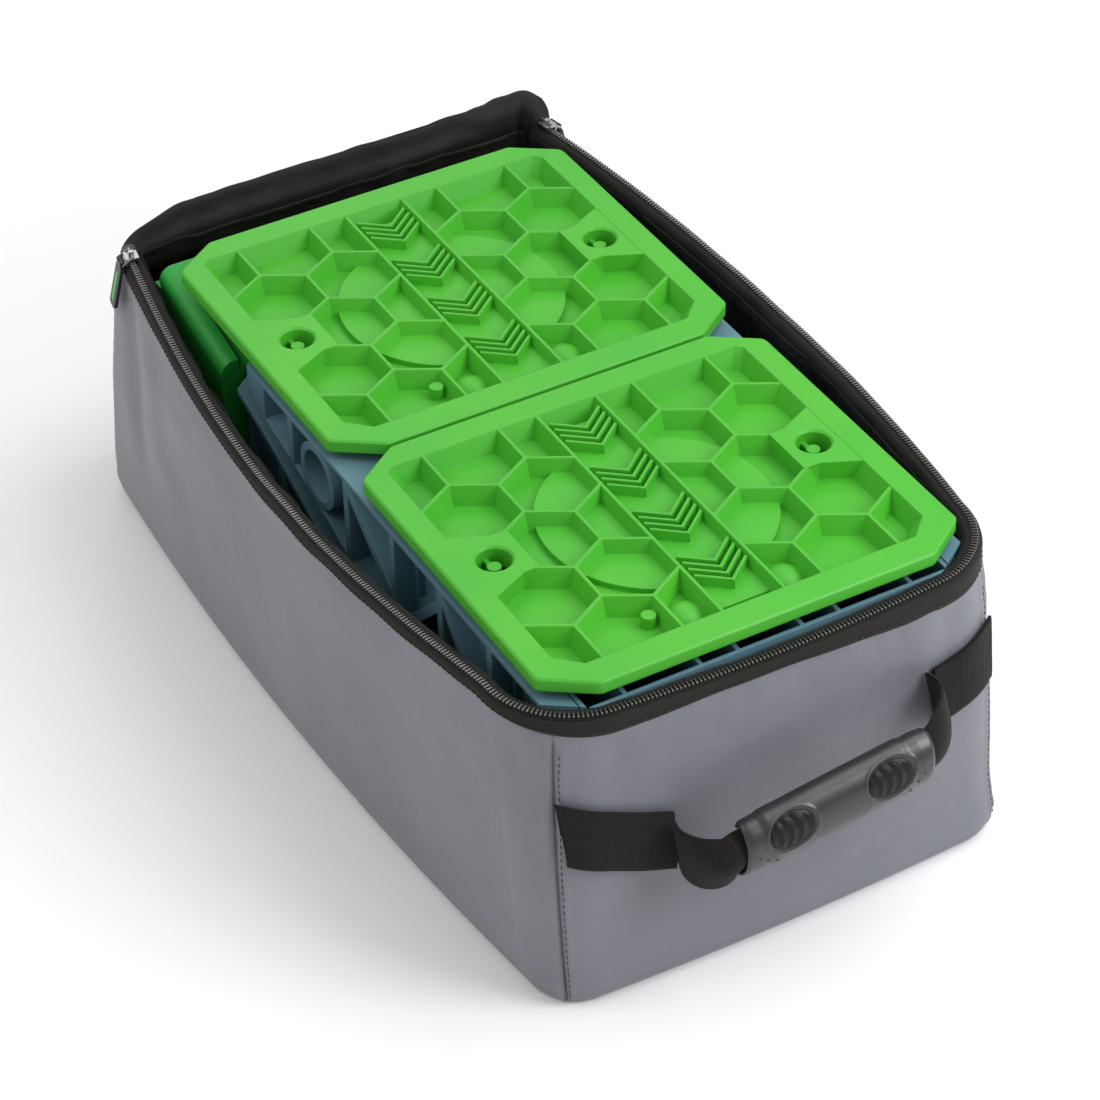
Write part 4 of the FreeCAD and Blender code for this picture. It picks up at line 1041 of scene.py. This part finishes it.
AZIMUTH, ELEVATION, ROLL = math.radians(61.29), math.radians(38.78), math.radians(-1.31)
CAMERA_PLACE, CAMERA_LENS = (1.4651, -0.7927, 1.4058), 116.86
back = Vector((math.sin(AZIMUTH) * math.cos(ELEVATION), -math.cos(AZIMUTH) * math.cos(ELEVATION),
               math.sin(ELEVATION)))
right = Vector((math.cos(AZIMUTH), math.sin(AZIMUTH), 0.0))
up_axis = back.cross(right)
right, up_axis = (right * math.cos(ROLL) + up_axis * math.sin(ROLL),
                  up_axis * math.cos(ROLL) - right * math.sin(ROLL))
camera_data = bpy.data.cameras.new("camera")
camera_data.sensor_width = 36.0
camera_data.lens = CAMERA_LENS
camera_data.clip_end = 50.0
camera = bpy.data.objects.new("camera", camera_data)
turn = Matrix((right, up_axis, back)).transposed().to_4x4()
camera.matrix_world = Matrix.Translation(CAMERA_PLACE) @ turn
bpy.context.scene.collection.objects.link(camera)
bpy.context.scene.camera = camera


def area_light(name, place, target, size, power, colour=(1, 1, 1)):
    data = bpy.data.lights.new(name, "AREA")
    data.shape = "RECTANGLE"
    data.size, data.size_y = size
    data.energy = power
    data.color = colour
    obj = bpy.data.objects.new(name, data)
    aim = Vector(target) - Vector(place)
    obj.matrix_world = Matrix.Translation(place) @ aim.to_track_quat("-Z", "Y").to_matrix().to_4x4()
    bpy.context.scene.collection.objects.link(obj)


area_light("key_softbox", (0.35, 0.9, 1.9), (0, 0, 0.1), (1.5, 1.5), 18.0)
area_light("front_softbox", (0.86, 0.55, 0.78), (0.28, 0.10, 0.13), (0.5, 0.5), 6.2, (0.94, 0.97, 1.0))
area_light("side_softbox", (-0.3, -1.7, 1.9), (0, 0, 0.1), (1.6, 1.2), 12.0)
area_light("back_softbox", (-1.6, 0.2, 1.4), (0, 0, 0.15), (1.4, 1.2), 6.0)

world = bpy.data.worlds.new("studio")
world.use_nodes = True
world.node_tree.nodes["Background"].inputs["Color"].default_value = (1.0, 1.0, 1.0, 1.0)
world.node_tree.nodes["Background"].inputs["Strength"].default_value = 0.60
bpy.context.scene.world = world

floor_mesh = bpy.data.meshes.new("studio_floor")
REACH = 8.0
corners = [(-REACH, -REACH, 0), (REACH, -REACH, 0), (REACH, REACH, 0), (-REACH, REACH, 0)]
floor_mesh.from_pydata(corners, [], [(0, 1, 2, 3)])
studio_floor = bpy.data.objects.new("studio_floor", floor_mesh)
bpy.context.scene.collection.objects.link(studio_floor)
paper = Nodes("studio_paper")
paper_tones = [(0.3, (0.89, 0.89, 0.89)), (0.7, (0.91, 0.91, 0.91))]
paper.link(paper.ramp(paper.noise(paper.place(), 2.0), paper_tones), paper.bsdf.inputs["Base Color"])
paper.bsdf.inputs["Roughness"].default_value = 0.9
floor_mesh.materials.append(paper.material)

bpy.context.scene.view_settings.view_transform = "Standard"
